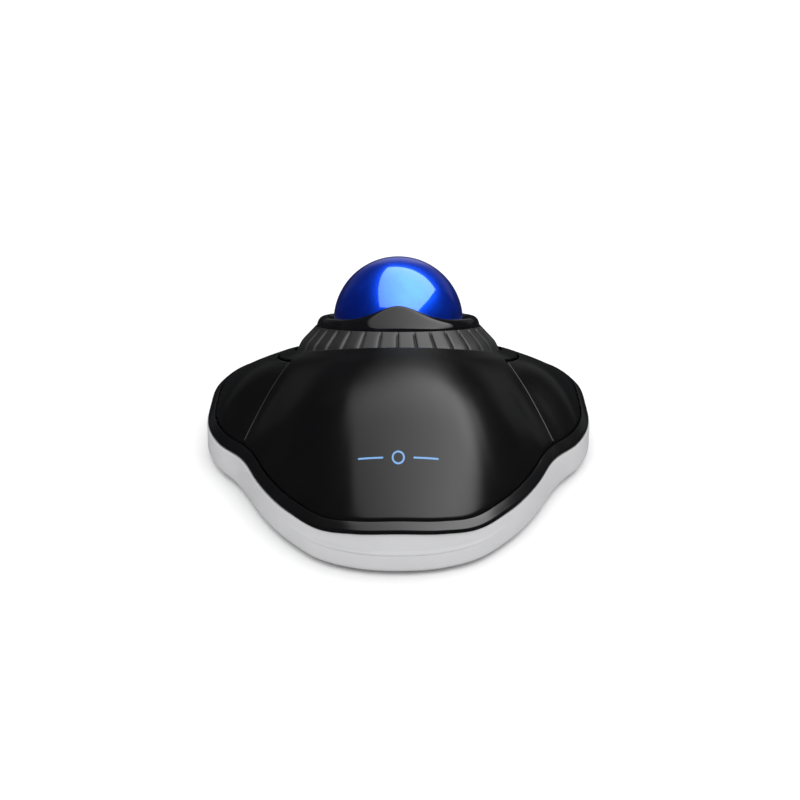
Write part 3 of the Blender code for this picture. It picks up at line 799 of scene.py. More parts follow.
class Paint(Wiring):
    """One material while its nodes are being put together."""

    def __init__(self, name: str) -> None:
        """Starts an empty node material with this name."""
        self.material = bpy.data.materials.new(name)
        super().__init__(self.material)
        self.place = self.node("ShaderNodeTexCoord").outputs["Object"]

    def noise(self, spacing: float, detail: float = 2.0, stretch: Sequence[float] = (1, 1, 1)) -> Value:
        """Reads soft noise.

        Args:
            spacing: Size of its patches, in millimetres.
            detail: Number of finer layers.
            stretch: Scale along each axis.

        Returns:
            A value near 0.5.
        """
        where = self.place
        if tuple(stretch) != (1, 1, 1):
            links = {"Vector": where, "Scale": tuple(stretch)}
            where = self.node("ShaderNodeMapping", None, links).outputs[0]
        links = {"Vector": where, "Scale": 1.0 / (spacing * MM), "Detail": detail, "Roughness": 0.55}
        return Value(self, self.node("ShaderNodeTexNoise", None, links).outputs[0])

    def cells(self, spacing: float, output: str = "Distance") -> Value:
        """Reads a pattern of small cells this many millimetres apart."""
        links = {"Vector": self.place, "Scale": 1.0 / (spacing * MM)}
        return Value(self, self.node("ShaderNodeTexVoronoi", None, links).outputs[output])

    def axis(self, name: str) -> Value:
        """One of the object's coordinates, in metres."""
        return Value(self, self.node("ShaderNodeSeparateXYZ", None, {0: self.place}).outputs[name])

    def attribute(self, name: str) -> Value:
        """A number stored on the mesh."""
        return Value(self, self.node("ShaderNodeAttribute", {"attribute_name": name}).outputs["Fac"])

    def distance(self, x: float, y: float, z: float) -> Value:
        """Distance in metres from a point given in millimetres."""
        links = {0: self.place, 1: (x * MM, y * MM, z * MM)}
        measured = self.node("ShaderNodeVectorMath", {"operation": "DISTANCE"}, links)
        return Value(self, measured.outputs["Value"])

    def mix(self, share: object, first: object, second: object) -> Socket:
        """Blends two colours.

        Args:
            share: How much of the second colour there is.
            first: Colour or link.
            second: Colour or link.

        Returns:
            The blended colour.
        """
        node = self.node("ShaderNodeMix", {"data_type": "RGBA"}, {0: share, 6: first, 7: second})
        return node.outputs[2]

    def bump(self, height: object, strength: float, depth: float, under: object = None) -> Socket:
        """Raises relief.

        Args:
            height: Height from 0 to 1.
            strength: How strongly it shows.
            depth: Height of the relief, in millimetres.
            under: Normal from another bump, if there is one.

        Returns:
            The normal.
        """
        links = {"Height": height, "Strength": strength, "Distance": depth * MM}
        if under is not None:
            links["Normal"] = under
        return self.node("ShaderNodeBump", None, links).outputs[0]

    def done(self, links: dict) -> Material:
        """Finishes the material with one Principled shader that has these inputs."""
        shader = self.node("ShaderNodeBsdfPrincipled", None, links)
        self.node("ShaderNodeOutputMaterial", None, {0: shader.outputs[0]})
        return self.material


def scaled(colour: Colour, factor: float) -> Colour:
    """The colour made darker or lighter."""
    return tuple(min(1.0, part * factor) for part in colour)


@dataclass(frozen=True)
class Finish:
    """A procedural material, and the slot of the record that it fills."""

    name: str
    slot: Slot
    colour: Colour

    def inputs(self, paint: Paint) -> dict:
        """Colour, roughness, relief and the rest that this finish gives its shader."""
        raise NotImplementedError

    def material(self) -> Material:
        """Builds the material."""
        paint = Paint(self.name)
        return paint.done(self.inputs(paint))

    def toned(self, paint: Paint, share: Value, first: float, second: float = 1.0) -> Socket:
        """The finish's colour, going from one strength of it to another."""
        return paint.mix(share, scaled(self.colour, first), scaled(self.colour, second))


@dataclass(frozen=True)
class Moulding(Finish):
    """Moulded plastic: a fine spark-eroded grain, slow tone changes and rubbed patches."""

    roughness: float
    grain: float = 0.35
    relief: float = 0.010
    tone: float = 0.10
    smudge: float = 0.05
    shine: float = 0.5
    rubbed: Triple | None = None

    def inputs(self, paint: Paint) -> dict:
        """Grain, specks and, on the palm rest, a patch that hands have polished."""
        slow = paint.noise(14.0, 3.0)
        fine = paint.noise(self.grain, 2.0)
        speck = paint.noise(self.grain * 3.2, 1.0)
        base = self.toned(paint, slow.between(0.3, 0.7), 1 - self.tone, 1 + self.tone)
        base = paint.mix(speck.between(0.62, 0.74) * 0.35, base, scaled(self.colour, 1 + 2.5 * self.tone))
        rough = self.roughness + (slow - 0.5) * self.smudge + (fine - 0.5) * 0.06
        if self.rubbed is not None:
            worn = paint.distance(*self.rubbed).between(34 * MM, 8 * MM)
            rough = rough - worn * paint.noise(5.0, 4.0).between(0.3, 0.65) * 0.035
        normal = paint.bump(fine, 0.35, self.relief)
        return {"Base Color": base, "Roughness": rough, "Normal": normal, "Specular IOR Level": self.shine}


class GlossMoulding(Finish):
    """Polished black plastic with a few hairline scratches and a film of dust."""

    def inputs(self, paint: Paint) -> dict:
        """Haze, hairlines and a slight waviness."""
        haze = paint.noise(6.0, 4.0)
        hairline = paint.noise(0.5, 1.0, (1.0, 9.0, 1.0)).between(0.66, 0.72)
        base = self.toned(paint, haze.between(0.45, 0.8), 1.0, 1.8)
        rough = 0.075 + haze.between(0.4, 0.8) * 0.05 + hairline * 0.05
        normal = paint.bump(paint.noise(9.0, 2.0), 0.08, 0.05)
        return {"Base Color": base, "Roughness": rough, "Normal": normal, "Specular IOR Level": 0.55}


class RibbedRubber(Finish):
    """Matt grey elastomer, with painted shade that darkens it in its grooves and on its underside."""

    def inputs(self, paint: Paint) -> dict:
        """Tone with painted shade by the depth that is stored on the ribs, and two layers of relief."""
        depth = paint.attribute("groove")
        patch, fine = paint.noise(7.0, 3.0), paint.noise(0.28, 2.0)
        base = self.toned(paint, patch.between(0.3, 0.7), 0.92, 1.07)
        # Painted shade: the colour is darkened where the stored groove depth is large, in the grooves and
        # under the ring.
        base = paint.mix(depth.between(0.55, 1.25) * 0.8, base, scaled(self.colour, 0.2))
        rough = 0.42 + (patch - 0.5) * 0.10 + depth.between(0.4, 1.2) * 0.3
        normal = paint.bump(fine, 0.5, 0.02, paint.bump(paint.noise(1.6, 2.0), 0.25, 0.03))
        return {"Base Color": base, "Roughness": rough, "Normal": normal, "Specular IOR Level": 0.8}


@dataclass(frozen=True)
class PearlResin(Finish):
    """Phenolic ball: blue with fine pearl flakes under a polished clear skin."""

    deep: Colour

    def inputs(self, paint: Paint) -> dict:
        """Clouds of two blues with flakes in them, under a clear coat."""
        flake = paint.cells(0.22, "Color")
        cloud = paint.noise(7.0, 3.0)
        base = paint.mix(cloud.between(0.35, 0.7), self.deep, self.colour)
        base = paint.mix((flake ** 3) * 0.3, base, (0.03, 0.14, 1.0))
        rough = 0.33 + (flake - 0.5) * 0.12 + (cloud - 0.5) * 0.04
        return {
            "Base Color": base, "Roughness": rough, "Normal": paint.bump(flake, 0.12, 0.006),
            "Metallic": 0.90 + (flake - 0.5) * 0.2,
            "Coat Weight": 1.0, "Coat Roughness": 0.05, "Coat IOR": 1.65,
        }


@dataclass(frozen=True)
class BrushedMetal(Finish):
    """Turned or drawn metal with fine marks and dull spots."""

    roughness: float

    def inputs(self, paint: Paint) -> dict:
        """Marks along one axis, and dull spots."""
        marks, dull = paint.noise(0.12, 2.0, (1.0, 1.0, 6.0)), paint.noise(1.6, 4.0)
        base = self.toned(paint, dull.between(0.4, 0.75), 1.0, 0.6)
        rough = self.roughness + dull.between(0.4, 0.8) * 0.15 + (marks - 0.5) * 0.1
        normal = paint.bump(marks, 0.3, 0.01)
        return {"Base Color": base, "Roughness": rough, "Normal": normal, "Metallic": 1.0}


@dataclass(frozen=True)
class ClearMoulding(Finish):
    """Clear or tinted gem-like material with faint flow lines."""

    ior: float

    def inputs(self, paint: Paint) -> dict:
        """Faint flow lines in a clear body."""
        flow = paint.noise(1.5, 2.0, (1.0, 1.0, 0.3))
        return {
            "Base Color": self.toned(paint, flow.between(0.3, 0.7), 0.95),
            "Roughness": 0.04 + flow.between(0.5, 0.8) * 0.06, "Normal": paint.bump(flow, 0.1, 0.02),
            "Transmission Weight": 0.92, "IOR": self.ior,
        }


class SolderMask(Finish):
    """Green circuit board: glass weave, copper tracks under the mask and small plated holes."""

    def inputs(self, paint: Paint) -> dict:
        """Weave, tracks that wander where the noise lets them, and holes."""
        x, y = paint.axis("X"), paint.axis("Y")
        bend = paint.noise(9.0, 0.0)
        lanes = ((x + bend * (6 * MM)) * (math.tau / (1.9 * MM))).sine().between(0.55, 0.8)
        tracks = lanes * paint.noise(16.0, 1.0).between(0.47, 0.52)
        holes = paint.cells(3.4).between(0.13, 0.09)
        thread = math.tau / (0.5 * MM)
        weave = (x * thread).sine() * (y * thread).sine() * 0.5 + 0.5
        base = self.toned(paint, weave * 0.25, 1.0, 0.7)
        base = paint.mix(tracks, base, scaled(self.colour, 1.9))
        base = paint.mix(holes, base, (0.65, 0.55, 0.30))
        normal = paint.bump(tracks, 0.6, 0.03, paint.bump(weave, 0.15, 0.01))
        rough = 0.34 + weave * 0.08 - holes * 0.1
        return {"Base Color": base, "Roughness": rough, "Metallic": holes * 0.8, "Normal": normal}


@dataclass(frozen=True)
class Foil(Finish):
    """Silver sticker stock with a darker printed border and a faint crinkle."""

    centre: Pair
    half: Pair
    border: float = 1.5
    fade: float = 0.2

    def inputs(self, paint: Paint) -> dict:
        """A border along all four edges, and a crinkle."""
        inside = 1.0
        for axis, middle, half in zip("XY", self.centre, self.half):
            start = half - self.border
            past = (paint.axis(axis) - middle * MM).absolute().between(start * MM, (start + self.fade) * MM)
            inside = (1.0 - past) * inside
        crinkle = paint.noise(3.0, 4.0)
        base = self.toned(paint, crinkle.between(0.3, 0.7), 0.93)
        base = paint.mix(1.0 - inside, base, scaled(self.colour, 0.45))
        return {
            "Base Color": base, "Roughness": 0.38 + crinkle * 0.15, "Metallic": 0.45,
            "Normal": paint.bump(crinkle, 0.3, 0.04),
        }


class PadInk(Finish):
    """Pale ink printed on the palm rest, a little uneven and worn."""

    def inputs(self, paint: Paint) -> dict:
        """Ink that covers unevenly."""
        cover = paint.noise(0.6, 3.0)
        base = self.toned(paint, cover.between(0.25, 0.7), 0.8)
        return {"Base Color": base, "Roughness": 0.42 + cover * 0.1, "Normal": paint.bump(cover, 0.2, 0.01)}


class Finishes:
    """The object's finishes, by what they are on."""

    base = Moulding(
        "pale_grey_moulding", Slot.BASE, (0.55, 0.55, 0.56),
        roughness=0.42, grain=0.40, relief=0.008, tone=0.02, smudge=0.05,
    )
    rim = Moulding(
        "rim_moulding", Slot.RIM, (0.0035, 0.0035, 0.004),
        roughness=0.22, grain=0.35, relief=0.006, tone=0.12, smudge=0.04, shine=0.85,
    )
    cover = Moulding(
        "cover_moulding", Slot.COVER, (0.0032, 0.0032, 0.0036),
        roughness=0.21, grain=0.32, relief=0.006, tone=0.12, smudge=0.04, rubbed=(0, -20, 30),
    )
    collar = GlossMoulding("gloss_black_moulding", Slot.COLLAR, (0.004, 0.004, 0.005))
    ring = RibbedRubber("ribbed_grey_rubber", Slot.RING, (0.015, 0.015, 0.0155))
    ball = PearlResin("blue_pearl_resin", Slot.BALL, (0.0, 0.055, 0.90), deep=(0.0, 0.040, 0.76))
    nylon = Moulding(
        "black_nylon_moulding", Slot.NYLON, (0.030, 0.030, 0.032),
        roughness=0.5, grain=0.5, relief=0.02, smudge=0.08,
    )
    ruby = ClearMoulding("ruby_bearing", Slot.RUBY, (0.75, 0.02, 0.06), ior=1.76)
    clear = ClearMoulding("clear_moulding", Slot.CLEAR, (0.93, 0.96, 0.98), ior=1.49)
    component = Moulding(
        "component_epoxy", Slot.COMPONENT, (0.020, 0.020, 0.021),
        roughness=0.5, grain=0.25, relief=0.02, smudge=0.08,
    )
    board = SolderMask("green_solder_mask", Slot.BOARD, (0.008, 0.13, 0.05))
    white = Moulding(
        "white_moulding", Slot.WHITE, (0.78, 0.78, 0.75),
        roughness=0.4, grain=0.4, tone=0.03,
    )
    steel = BrushedMetal("zinc_plated_steel", Slot.STEEL, (0.58, 0.59, 0.60), roughness=0.28)
    tin = BrushedMetal("tinned_leads", Slot.STEEL, (0.70, 0.70, 0.69), roughness=0.32)
    can = BrushedMetal("aluminium_can", Slot.CAN, (0.66, 0.67, 0.68), roughness=0.3)
    foot = Moulding(
        "foot_elastomer", Slot.FOOT, (0.022, 0.022, 0.023),
        roughness=0.8, grain=0.6, relief=0.03, tone=0.15, smudge=0.1,
    )
    paper = Foil("silver_sticker", Slot.PAPER, (0.62, 0.62, 0.62), centre=(0, -24), half=(18, 8))
    ink = PadInk("pale_blue_ink", Slot.COVER, (0.17, 0.38, 0.74))


class Bench:
    """Seats each finished piece on its body and keeps one material for each finish."""

    def __init__(self) -> None:
        """Starts with nothing made."""
        self.materials: dict[str, Material] = {}
        self.repeater = Repeater("repeat_round_and_along")

    def material(self, finish: Finish) -> Material:
        """The finish's material, made once."""
        if finish.name not in self.materials:
            self.materials[finish.name] = finish.material()
        return self.materials[finish.name]

    def seat(
        self,
        name: str,
        mesh: Mesh,
        finish: Finish,
        body: Body = Body.HOUSING,
        stands_for: Sequence[str] = (),
        sharp: float = 40.0,
    ) -> Object:
        """Turns a mesh in the object's frame into a finished piece.

        Args:
            name: Name of the piece.
            mesh: Its mesh, in place.
            finish: Its finish.
            body: The body it moves with.
            stands_for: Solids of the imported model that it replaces.
            sharp: Edges turning by more than this many degrees stay sharp.

        Returns:
            The piece.
        """
        mesh.name = name
        mesh.shade_smooth()
        mesh.set_sharp_from_angle(angle=math.radians(sharp))
        mesh.materials.clear()
        mesh.materials.append(self.material(finish))
        piece = listed(name, mesh)
        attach(piece, body.value)
        if stands_for:
            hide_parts(*stands_for)
        log.info("%s: %d faces on %s", name, len(mesh.polygons), body.value)
        return piece


# ---- Housing ----


@dataclass
class BaseTray:
    """Pale grey tray with a stepped wall, countersunk screw holes, foot recesses and board posts."""

    plan: Plan
    legs: Knots
    feet: Knots
    posts: Knots
    stations: int = 360
    floor_bottom: float = 1.0
    floor_top: float = 3.0
    wall: float = 2.2
    hem: float = 1.7
    step_height: float = 7.8
    step_depth: float = 0.7
    step_groove: float = 0.14
    step_fade: Knots = ((0, 1.0), (12, 1.0), (26, 0.05), (40, 0.0), (180, 0.0))
    foot_radius: float = 5.0
    foot_recess: float = 0.35
    board_bottom: float = 6.4
    cable_height: float = 6.0
    cable_radius: float = 2.35

    def wall_sections(self) -> np.ndarray:
        """Profile of the wall at each station, from under the floor, up outside and down inside."""
        angle = np.linspace(0.0, 360.0, self.stations, endpoint=False)
        fade = smooth(self.step_fade, wrapped(angle))
        depth, groove = self.step_depth * fade, self.step_groove * fade
        step, cove = self.step_height, 0.8
        hem = arc((self.hem, self.hem), (270, 180), 8, (self.hem, self.floor_bottom + self.hem))
        line = ((0.0, -1.7), (0.0, -1.3), (groove, -1.22), (groove, -1.06), (0.0, -0.98), (0.0, -0.8))
        ledge = ((depth * 0.12, -0.6), (depth * 0.8, -0.08), (depth, 0.15))
        outside = [*hem, *((inset, step + rise) for inset, rise in (*line, *ledge))]
        lip = (
            (depth, -0.9), (depth, -0.3), (depth + 0.09, -0.09), (depth + 0.3, 0.0),
            (self.wall - 0.2, 0.0), (self.wall, -0.2),
        )
        inside = arc((cove, cove), (180, 270), 5, (self.wall + cove, self.floor_top + cove))
        top = self.plan.top(angle)
        whole = [*outside, *((inset, top + drop) for inset, drop in lip), *inside]
        return np.array([self.plan.point(angle, inset, height + 0 * angle) for inset, height in whole])

    def mesh(self) -> Mesh:
        """Builds the tray with its holes and posts."""
        rows = self.wall_sections()
        count, stations = rows.shape[:2]
        cells = woven(count, stations, join_columns=True).reshape(-1, 4).tolist()
        cells += [list(range(stations)), list(range((count - 1) * stations, count * stations))]
        tray = mesh_of("base_tray", rows, cells)
        post = ((0, 2.5), (3.9, 2.5), (3.9, 3.0), (3.3, 3.4), (3.0, 4.2), (3.0, 6.0), (0, 6.0))
        tray = combined(tray, "UNION", *(moved(turned("post", post, 48), at(x, y, 0)) for x, y in self.posts))
        sink = ((0, 0), (2.95, 0), (2.95, 2.1), (1.7, 2.1), (1.7, 4), (0, 4))
        radius, depth = self.foot_radius + 0.3, self.floor_bottom + self.foot_recess
        recess = ((0, 0), (radius, 0), (radius, depth), (0, depth))
        cuts = [rod("bore", (x, y, 3.5), (x, y, 9), 1.1, 32) for x, y in self.posts]
        cuts += [moved(turned("sink", sink, 48), at(x, y, 0)) for x, y in self.legs]
        cuts += [moved(turned("recess", recess, 72), at(x, y, 0)) for x, y in self.feet]
        cuts.append(rod("inlet", (0, 58, self.cable_height), (0, 70, self.cable_height), self.cable_radius))
        return combined(tray, "DIFFERENCE", *cuts)

    def build(self, bench: Bench) -> None:
        """Builds and seats the tray."""
        bench.seat("base_tray", self.mesh(), Finishes.base, stands_for=["base_shell"], sharp=35)


@dataclass
class RimBead:
    """Black bead with a rounded crown that caps the tray's wall."""

    plan: Plan
    stations: int = 360
    crown: Knots = (
        (0.3, 0.85), (0.42, 1.3), (0.95, 1.9), (1.5, 2.47), (2.03, 2.95), (2.36, 3.15), (2.5, 3.0),
    )
    foot: float = 0.06
    fillet: float = 0.15

    def build(self, bench: Bench) -> None:
        """Builds and seats the bead."""
        crown = flowing(self.crown, 4)
        outer, inner = self.crown[0][0], self.crown[-1][0]
        profile = np.vstack([
            [(outer + self.fillet, self.foot), (outer, self.foot + self.fillet), (outer, 0.7)], crown,
            [(inner, 1.4), (inner, self.foot + self.fillet), (inner - self.fillet, self.foot)],
        ])
        angle = np.linspace(0.0, 360.0, self.stations, endpoint=False)
        top = self.plan.top(angle)
        sections = np.array([self.plan.point(angle, inset, top + rise) for inset, rise in profile])
        mesh = loop_of("rim_bead", sections.transpose(1, 0, 2))
        bench.seat("rim_bead", mesh, Finishes.rim, stands_for=["rim_trim"], sharp=50)


@dataclass
class TopCover:
    """Palm rest, bezel and nose in one shell, and the two wing-shaped buttons beside them."""

    skin: Skin
    palm_columns: int = 124
    wing_columns: int = 104
    nose_columns: int = 16
    bezel_rows: int = 7
    skin_rows: int = 52
    thickness: float = 1.6
    rounding: float = 0.32
    column_skirt: float = -10.5
    rim_skirt: float = 1.1
    edge_roll: Knots = ((0, 0.7), (50, 0.7), (75, 0.3), (180, 0.3))
    seam: Pair = (61.5, 55.0)
    nose: Pair = (163.0, 169.5)
    side_gap: float = 0.34
    bezel_gap: float = 0.75
    post_radius: float = 1.4
    post_foot: float = 16.1
    post_angle: float = 78.0
    post_sink: float = 1.0

    def columns(self, down: float) -> np.ndarray:
        """Angles once round at this share of the way from bezel to rim, from the right seam."""
        seam = self.seam[0] + (self.seam[1] - self.seam[0]) * down
        nose = self.nose[0] + (self.nose[1] - self.nose[0]) * down
        stops = (
            (seam, nose, self.wing_columns), (nose, 360 - nose, self.nose_columns),
            (360 - nose, 360 - seam, self.wing_columns), (360 - seam, 360 + seam, self.palm_columns),
        )
        runs = [np.linspace(start, end, count, endpoint=False) for start, end, count in stops]
        return np.concatenate([*runs, [360 + seam]])

    def share_row(self, angle: np.ndarray, start: np.ndarray, down: float) -> np.ndarray:
        """Points at this share of the way from a starting reach to where the rim edge rolls over."""
        end = 1 - smooth(self.edge_roll, wrapped(angle)) / self.skin.length(angle)
        return self.skin.point(angle, start + (end - start) * down)

    def edge_rows(self, angle: np.ndarray) -> list[np.ndarray]:
        """Rows that roll over the edge along the rim and run down behind it."""
        roll, rows = smooth(self.edge_roll, wrapped(angle)), []
        for turn in np.radians((15, 30, 45, 60, 75, 90)):
            rows.append(self.skin.point(angle, 1 - roll * (1 - math.sin(turn)) / self.skin.length(angle)))
            rows[-1][:, 2] -= roll * (1 - math.cos(turn))
        return [*rows, rows[-1] - (0, 0, self.rim_skirt)]

    def cover_mesh(self) -> Mesh:
        """Palm rest, bezel and nose as one shell."""
        top = self.columns(0.0)
        rows = [self.skin.hub.point(self.skin.opening_radius, top, self.column_skirt)]
        for i in range(self.bezel_rows):
            rows.append(self.skin.point(top, self.skin.bezel(top) * i / self.bezel_rows))
        for i in range(self.skin_rows + 1):
            down = i / self.skin_rows
            rows.append(self.share_row(self.columns(down), self.skin.bezel(top), down))
        rows += self.edge_rows(self.columns(1.0))
        grid = np.array(rows)
        keep = np.zeros((len(rows) - 1, grid.shape[1] - 1), bool)
        keep[: self.bezel_rows + 1] = True
        keep[:, self.wing_columns : self.wing_columns + self.nose_columns] = True
        keep[:, 2 * self.wing_columns + self.nose_columns :] = True
        return shelled(sheet_of("palm_cover", grid, keep), self.thickness, self.rounding)

    def wing_mesh(self, side: Side) -> Mesh:
        """One button's shell, with the post that reaches down to its switch."""
        rows = []
        for i in range(self.skin_rows + 1):
            down = i / self.skin_rows
            ends = np.array([start + (end - start) * down for start, end in (self.seam, self.nose)])
            bezel = self.skin.bezel(ends)
            place = self.skin.point(ends, bezel + (1 - bezel) * down)
            gap = np.degrees(self.side_gap / np.hypot(place[:, 0], place[:, 1] - self.skin.plan.centre_y))
            angle = np.linspace(ends[0] + gap[0], ends[1] - gap[1], self.wing_columns + 1)
            start = self.skin.bezel(angle) * (1 + self.bezel_gap / self.skin.bezel_width)
            rows.append(self.share_row(side.value * angle, start, down))
        rows += self.edge_rows(side.value * angle)
        wing = shelled(sheet_of("wing", np.array(rows)), self.thickness, self.rounding)
        low, high = extent(f"{side.name.lower()}_switch_plunger")
        x, y, _ = (low + high) / 2
        top = self.skin.point(self.post_angle, 0.5)[2] - self.post_sink
        return combined(wing, "UNION", rod("post", (x, y, self.post_foot), (x, y, top), self.post_radius, 32))

    def build(self, bench: Bench) -> Object:
        """Builds and seats the cover and the buttons.

        Args:
            bench: Where the pieces are seated.

        Returns:
            The palm cover.
        """
        cover = bench.seat("palm_cover", self.cover_mesh(), Finishes.cover, Body.HOUSING, ["top_cover"], 45)
        for side in Side:
            name, body = side.name.lower(), Body[f"{side.name}_BUTTON"]
            bench.seat(f"{name}_wing", self.wing_mesh(side), Finishes.cover, body, [f"{name}_button"], 45)
        return cover


@dataclass
class PrintedMark:
    """Generic mark on the palm rest: a small ring between two short dashes, as a film of ink."""

    cover: Object
    centre_y: float = -50.0
    ring_radius: float = 1.6
    line: float = 0.5
    arch: float = 0.0085
    squash: float = 0.9
    dash_start: float = 4.2
    dash_end: float = 11.5
    film: float = 0.03

    def strips(self) -> list[np.ndarray]:
        """Grids of plan points of the ring and the dashes."""
        turn = np.linspace(0.0, math.tau, 65)
        radius = np.linspace(self.ring_radius - self.line / 2, self.ring_radius + self.line / 2, 3)[:, None]
        grids = [np.stack([radius * np.cos(turn), radius * np.sin(turn)], axis=-1)]
        along = np.linspace(self.dash_start, self.dash_end, 25)
        from_end = np.minimum(along - self.dash_start, self.dash_end - along)
        half = self.line / 2
        width = np.sqrt(np.maximum(half**2 - np.maximum(half - from_end, 0.0) ** 2, (0.05 * self.line) ** 2))
        across = np.array([-1.0, 0.0, 1.0])[:, None] * width
        for side in Side:
            grids.append(np.stack(np.broadcast_arrays(along * side.value, across), axis=-1))
        return grids

    def build(self, bench: Bench) -> None:
        """Lays the mark on the palm rest and seats it."""
        palm, down = self.cover.data, Vector((0, 0, -1))
        tree = BVHTree.FromPolygons([v.co for v in palm.vertices], [p.vertices[:] for p in palm.polygons])
        sheets = []
        for grid in self.strips():
            laid = np.zeros((*grid.shape[:2], 3))
            for index in np.ndindex(grid.shape[:2]):
                x, y = grid[index]
                above = Vector((x, y * self.squash + self.arch * x * x + self.centre_y, 90))
                place, normal, _, _ = tree.ray_cast(above * MM, down)
                laid[index] = (place + normal * self.film * MM) / MM
            sheets.append(sheet_of("film", laid))
        film = {"thickness": 0.02 * MM, "offset": -1.0}
        bench.seat("palm_mark", worked(joined("palm_mark", *sheets), ("SOLIDIFY", film)), Finishes.ink)


# ---- The ball and what carries it ----


@dataclass
class BallNest:
    """Ball, the gloss collar round it, the bowl with its three bearings, and the channel frame."""

    hub: Hub
    legs: Knots
    collar_low: Knots = (
        (24.8, -1.6), (24.75, -0.6), (24.2, 0.7), (23.2, 1.45), (22.0, 1.45), (21.3, 0.8),
        (21.2, -2.2), (24.3, -2.2),
    )
    collar_high: Knots = (
        (24.8, -1.6), (24.5, 0.2), (22.8, 3.2), (21.25, 5.5), (20.5, 6.12), (19.75, 5.95),
        (21.2, -2.2), (24.3, -2.2),
    )
    hump_spread: float = 25.0
    bowl_inner: float = 20.8
    bowl_outer: float = 23.4
    bowl_top: float = -2.6
    bearing_radius: float = 1.15
    bearing_drop: float = 35.0
    bearing_angles: Sequence[float] = (60.0, 180.0, 300.0)
    ear_angles: Sequence[float] = (0.0, 90.0, 270.0)
    ear_circle: float = 25.0
    leg_radius: float = 3.0

    def ball_mesh(self, cells: int = 44) -> Mesh:
        """Ball as six even patches, so that it has no poles."""
        side = np.tan(np.linspace(-math.pi / 4, math.pi / 4, cells + 1))
        u, v = np.meshgrid(side, side, indexing="ij")
        one = np.ones_like(u)
        points, faces = [], []
        for patch in ((one, u, v), (-one, v, u), (v, one, u), (u, -one, v), (u, v, one), (v, u, -one)):
            corners = np.stack(patch, axis=-1)
            corners /= np.linalg.norm(corners, axis=-1, keepdims=True)
            faces += (woven(cells + 1, cells + 1).reshape(-1, 4) + len(points) * (cells + 1) ** 2).tolist()
            points.append(corners * self.hub.ball_radius / MM)
        mesh = mesh_of("ball", np.array(points), faces)
        mesh.transform(self.hub.matrix())
        return mesh

    def collar_mesh(self, stations: int = 288) -> Mesh:
        """Collar as a lip whose section swells into a hump toward the user."""
        sections = []
        for angle in np.linspace(0.0, 360.0, stations, endpoint=False):
            swell = math.exp(-((wrapped(angle) / self.hump_spread) ** 2))
            low, high = np.array(self.collar_low), np.array(self.collar_high)
            corners = low + (high - low) * swell
            outer = flowing(corners[:6], 6)
            section = np.vstack([outer, corners[6:] + ((0, 0.2), (0, 0)), corners[7:]])
            sections.append(self.hub.point(section[:, 0], angle, section[:, 1]))
        return loop_of("collar", np.array(sections))

    def bearing_places(self) -> list[Vector]:
        """Centres of the support balls in the hub's frame, in millimetres."""
        reach = self.hub.ball_radius / MM + self.bearing_radius + 0.05
        drop = math.radians(self.bearing_drop)
        out, down = reach * math.cos(drop), -reach * math.sin(drop)
        turns = [math.radians(angle) for angle in self.bearing_angles]
        return [Vector((out * math.sin(t), -out * math.cos(t), down)) for t in turns]

    def bowl_mesh(self) -> Mesh:
        """Bowl with bearing pockets, screw ears and the sensor's window."""
        profile = []
        for radius, way in ((self.bowl_inner, 1), (self.bowl_outer, -1)):
            mouth = math.degrees(math.asin(self.bowl_top / radius))
            profile += arc((radius, radius), (mouth, -90), 22)[::way]
        ear = block("ear", (-3.25, -26.8, -20.3), (3.25, -12.2, -18.7), 0.3)
        hole = rod("hole", (0, -self.ear_circle, -22), (0, -self.ear_circle, -17), 1.0, 32)
        ears = [moved(ear, spun(angle)) for angle in self.ear_angles]
        cuts = [moved(hole, spun(angle)) for angle in self.ear_angles]
        bowl = combined(turned("bowl", profile, 128), "UNION", *ears)
        for place in self.bearing_places():
            outward = place.normalized()
            cuts.append(rod("pocket", outward * 19, outward * 22.9, self.bearing_radius + 0.12, 32))
        below = self.hub.matrix().inverted() @ (self.hub.centre - Vector((0, 0, 34 * MM)))
        straight = Matrix.Translation(below) @ Matrix.Rotation(self.hub.lean, 4, "X")
        cuts.append(moved(rod("window", (0, 0, 8), (0, 0, 26), 3.4, 48), straight))
        return moved(combined(bowl, "DIFFERENCE", *cuts), self.hub.matrix())

    def frame_mesh(self) -> Mesh:
        """Channel frame: the ring's track on four hollow legs, with the light gate's window."""
        profile = (
            (23.8, -18.4), (31.0, -18.4), (31.0, -14.0), (32.5, -14.0), (32.5, -12.8), (29.4, -12.8),
            (29.4, -16.9), (26.2, -16.9), (26.2, -5.2), (24.7, -3.7), (24.7, -2.5), (23.8, -2.5),
        )
        hub, radius = self.hub.matrix(), self.leg_radius
        legs, cuts = [], []
        for x, y in self.legs:
            top = self.leg_top(x, y)
            flare = ((0, 3.1), (radius, 3.1), (radius, top - 2.2), (radius + 0.5, top - 0.6), (0, top - 0.6))
            legs.append(moved(turned("leg", flare, 40), at(x, y, 0)))
            cuts.append(rod("bore", (x, y, 0), (x, y, 11), 1.5, 32))
        body = combined(moved(turned("channel", profile, 144), hub), "UNION", *legs)
        bore = rod("bore", (0, -self.ear_circle, -20), (0, -self.ear_circle, -11), 0.95, 24)
        cuts += [moved(bore, hub @ spun(angle)) for angle in self.ear_angles]
        cuts.append(moved(block("window", (-4.5, 22.9, -21.1), (4.5, 32.5, -13.3), 0), hub))
        return combined(body, "DIFFERENCE", *cuts)

    def leg_top(self, x: float, y: float) -> float:
        """Height of the channel's underside above this place, in millimetres."""
        slope = math.tan(self.hub.lean)
        centre = self.hub.centre / MM
        return centre.z - 18.0 / math.cos(self.hub.lean) - (y - centre.y) * slope

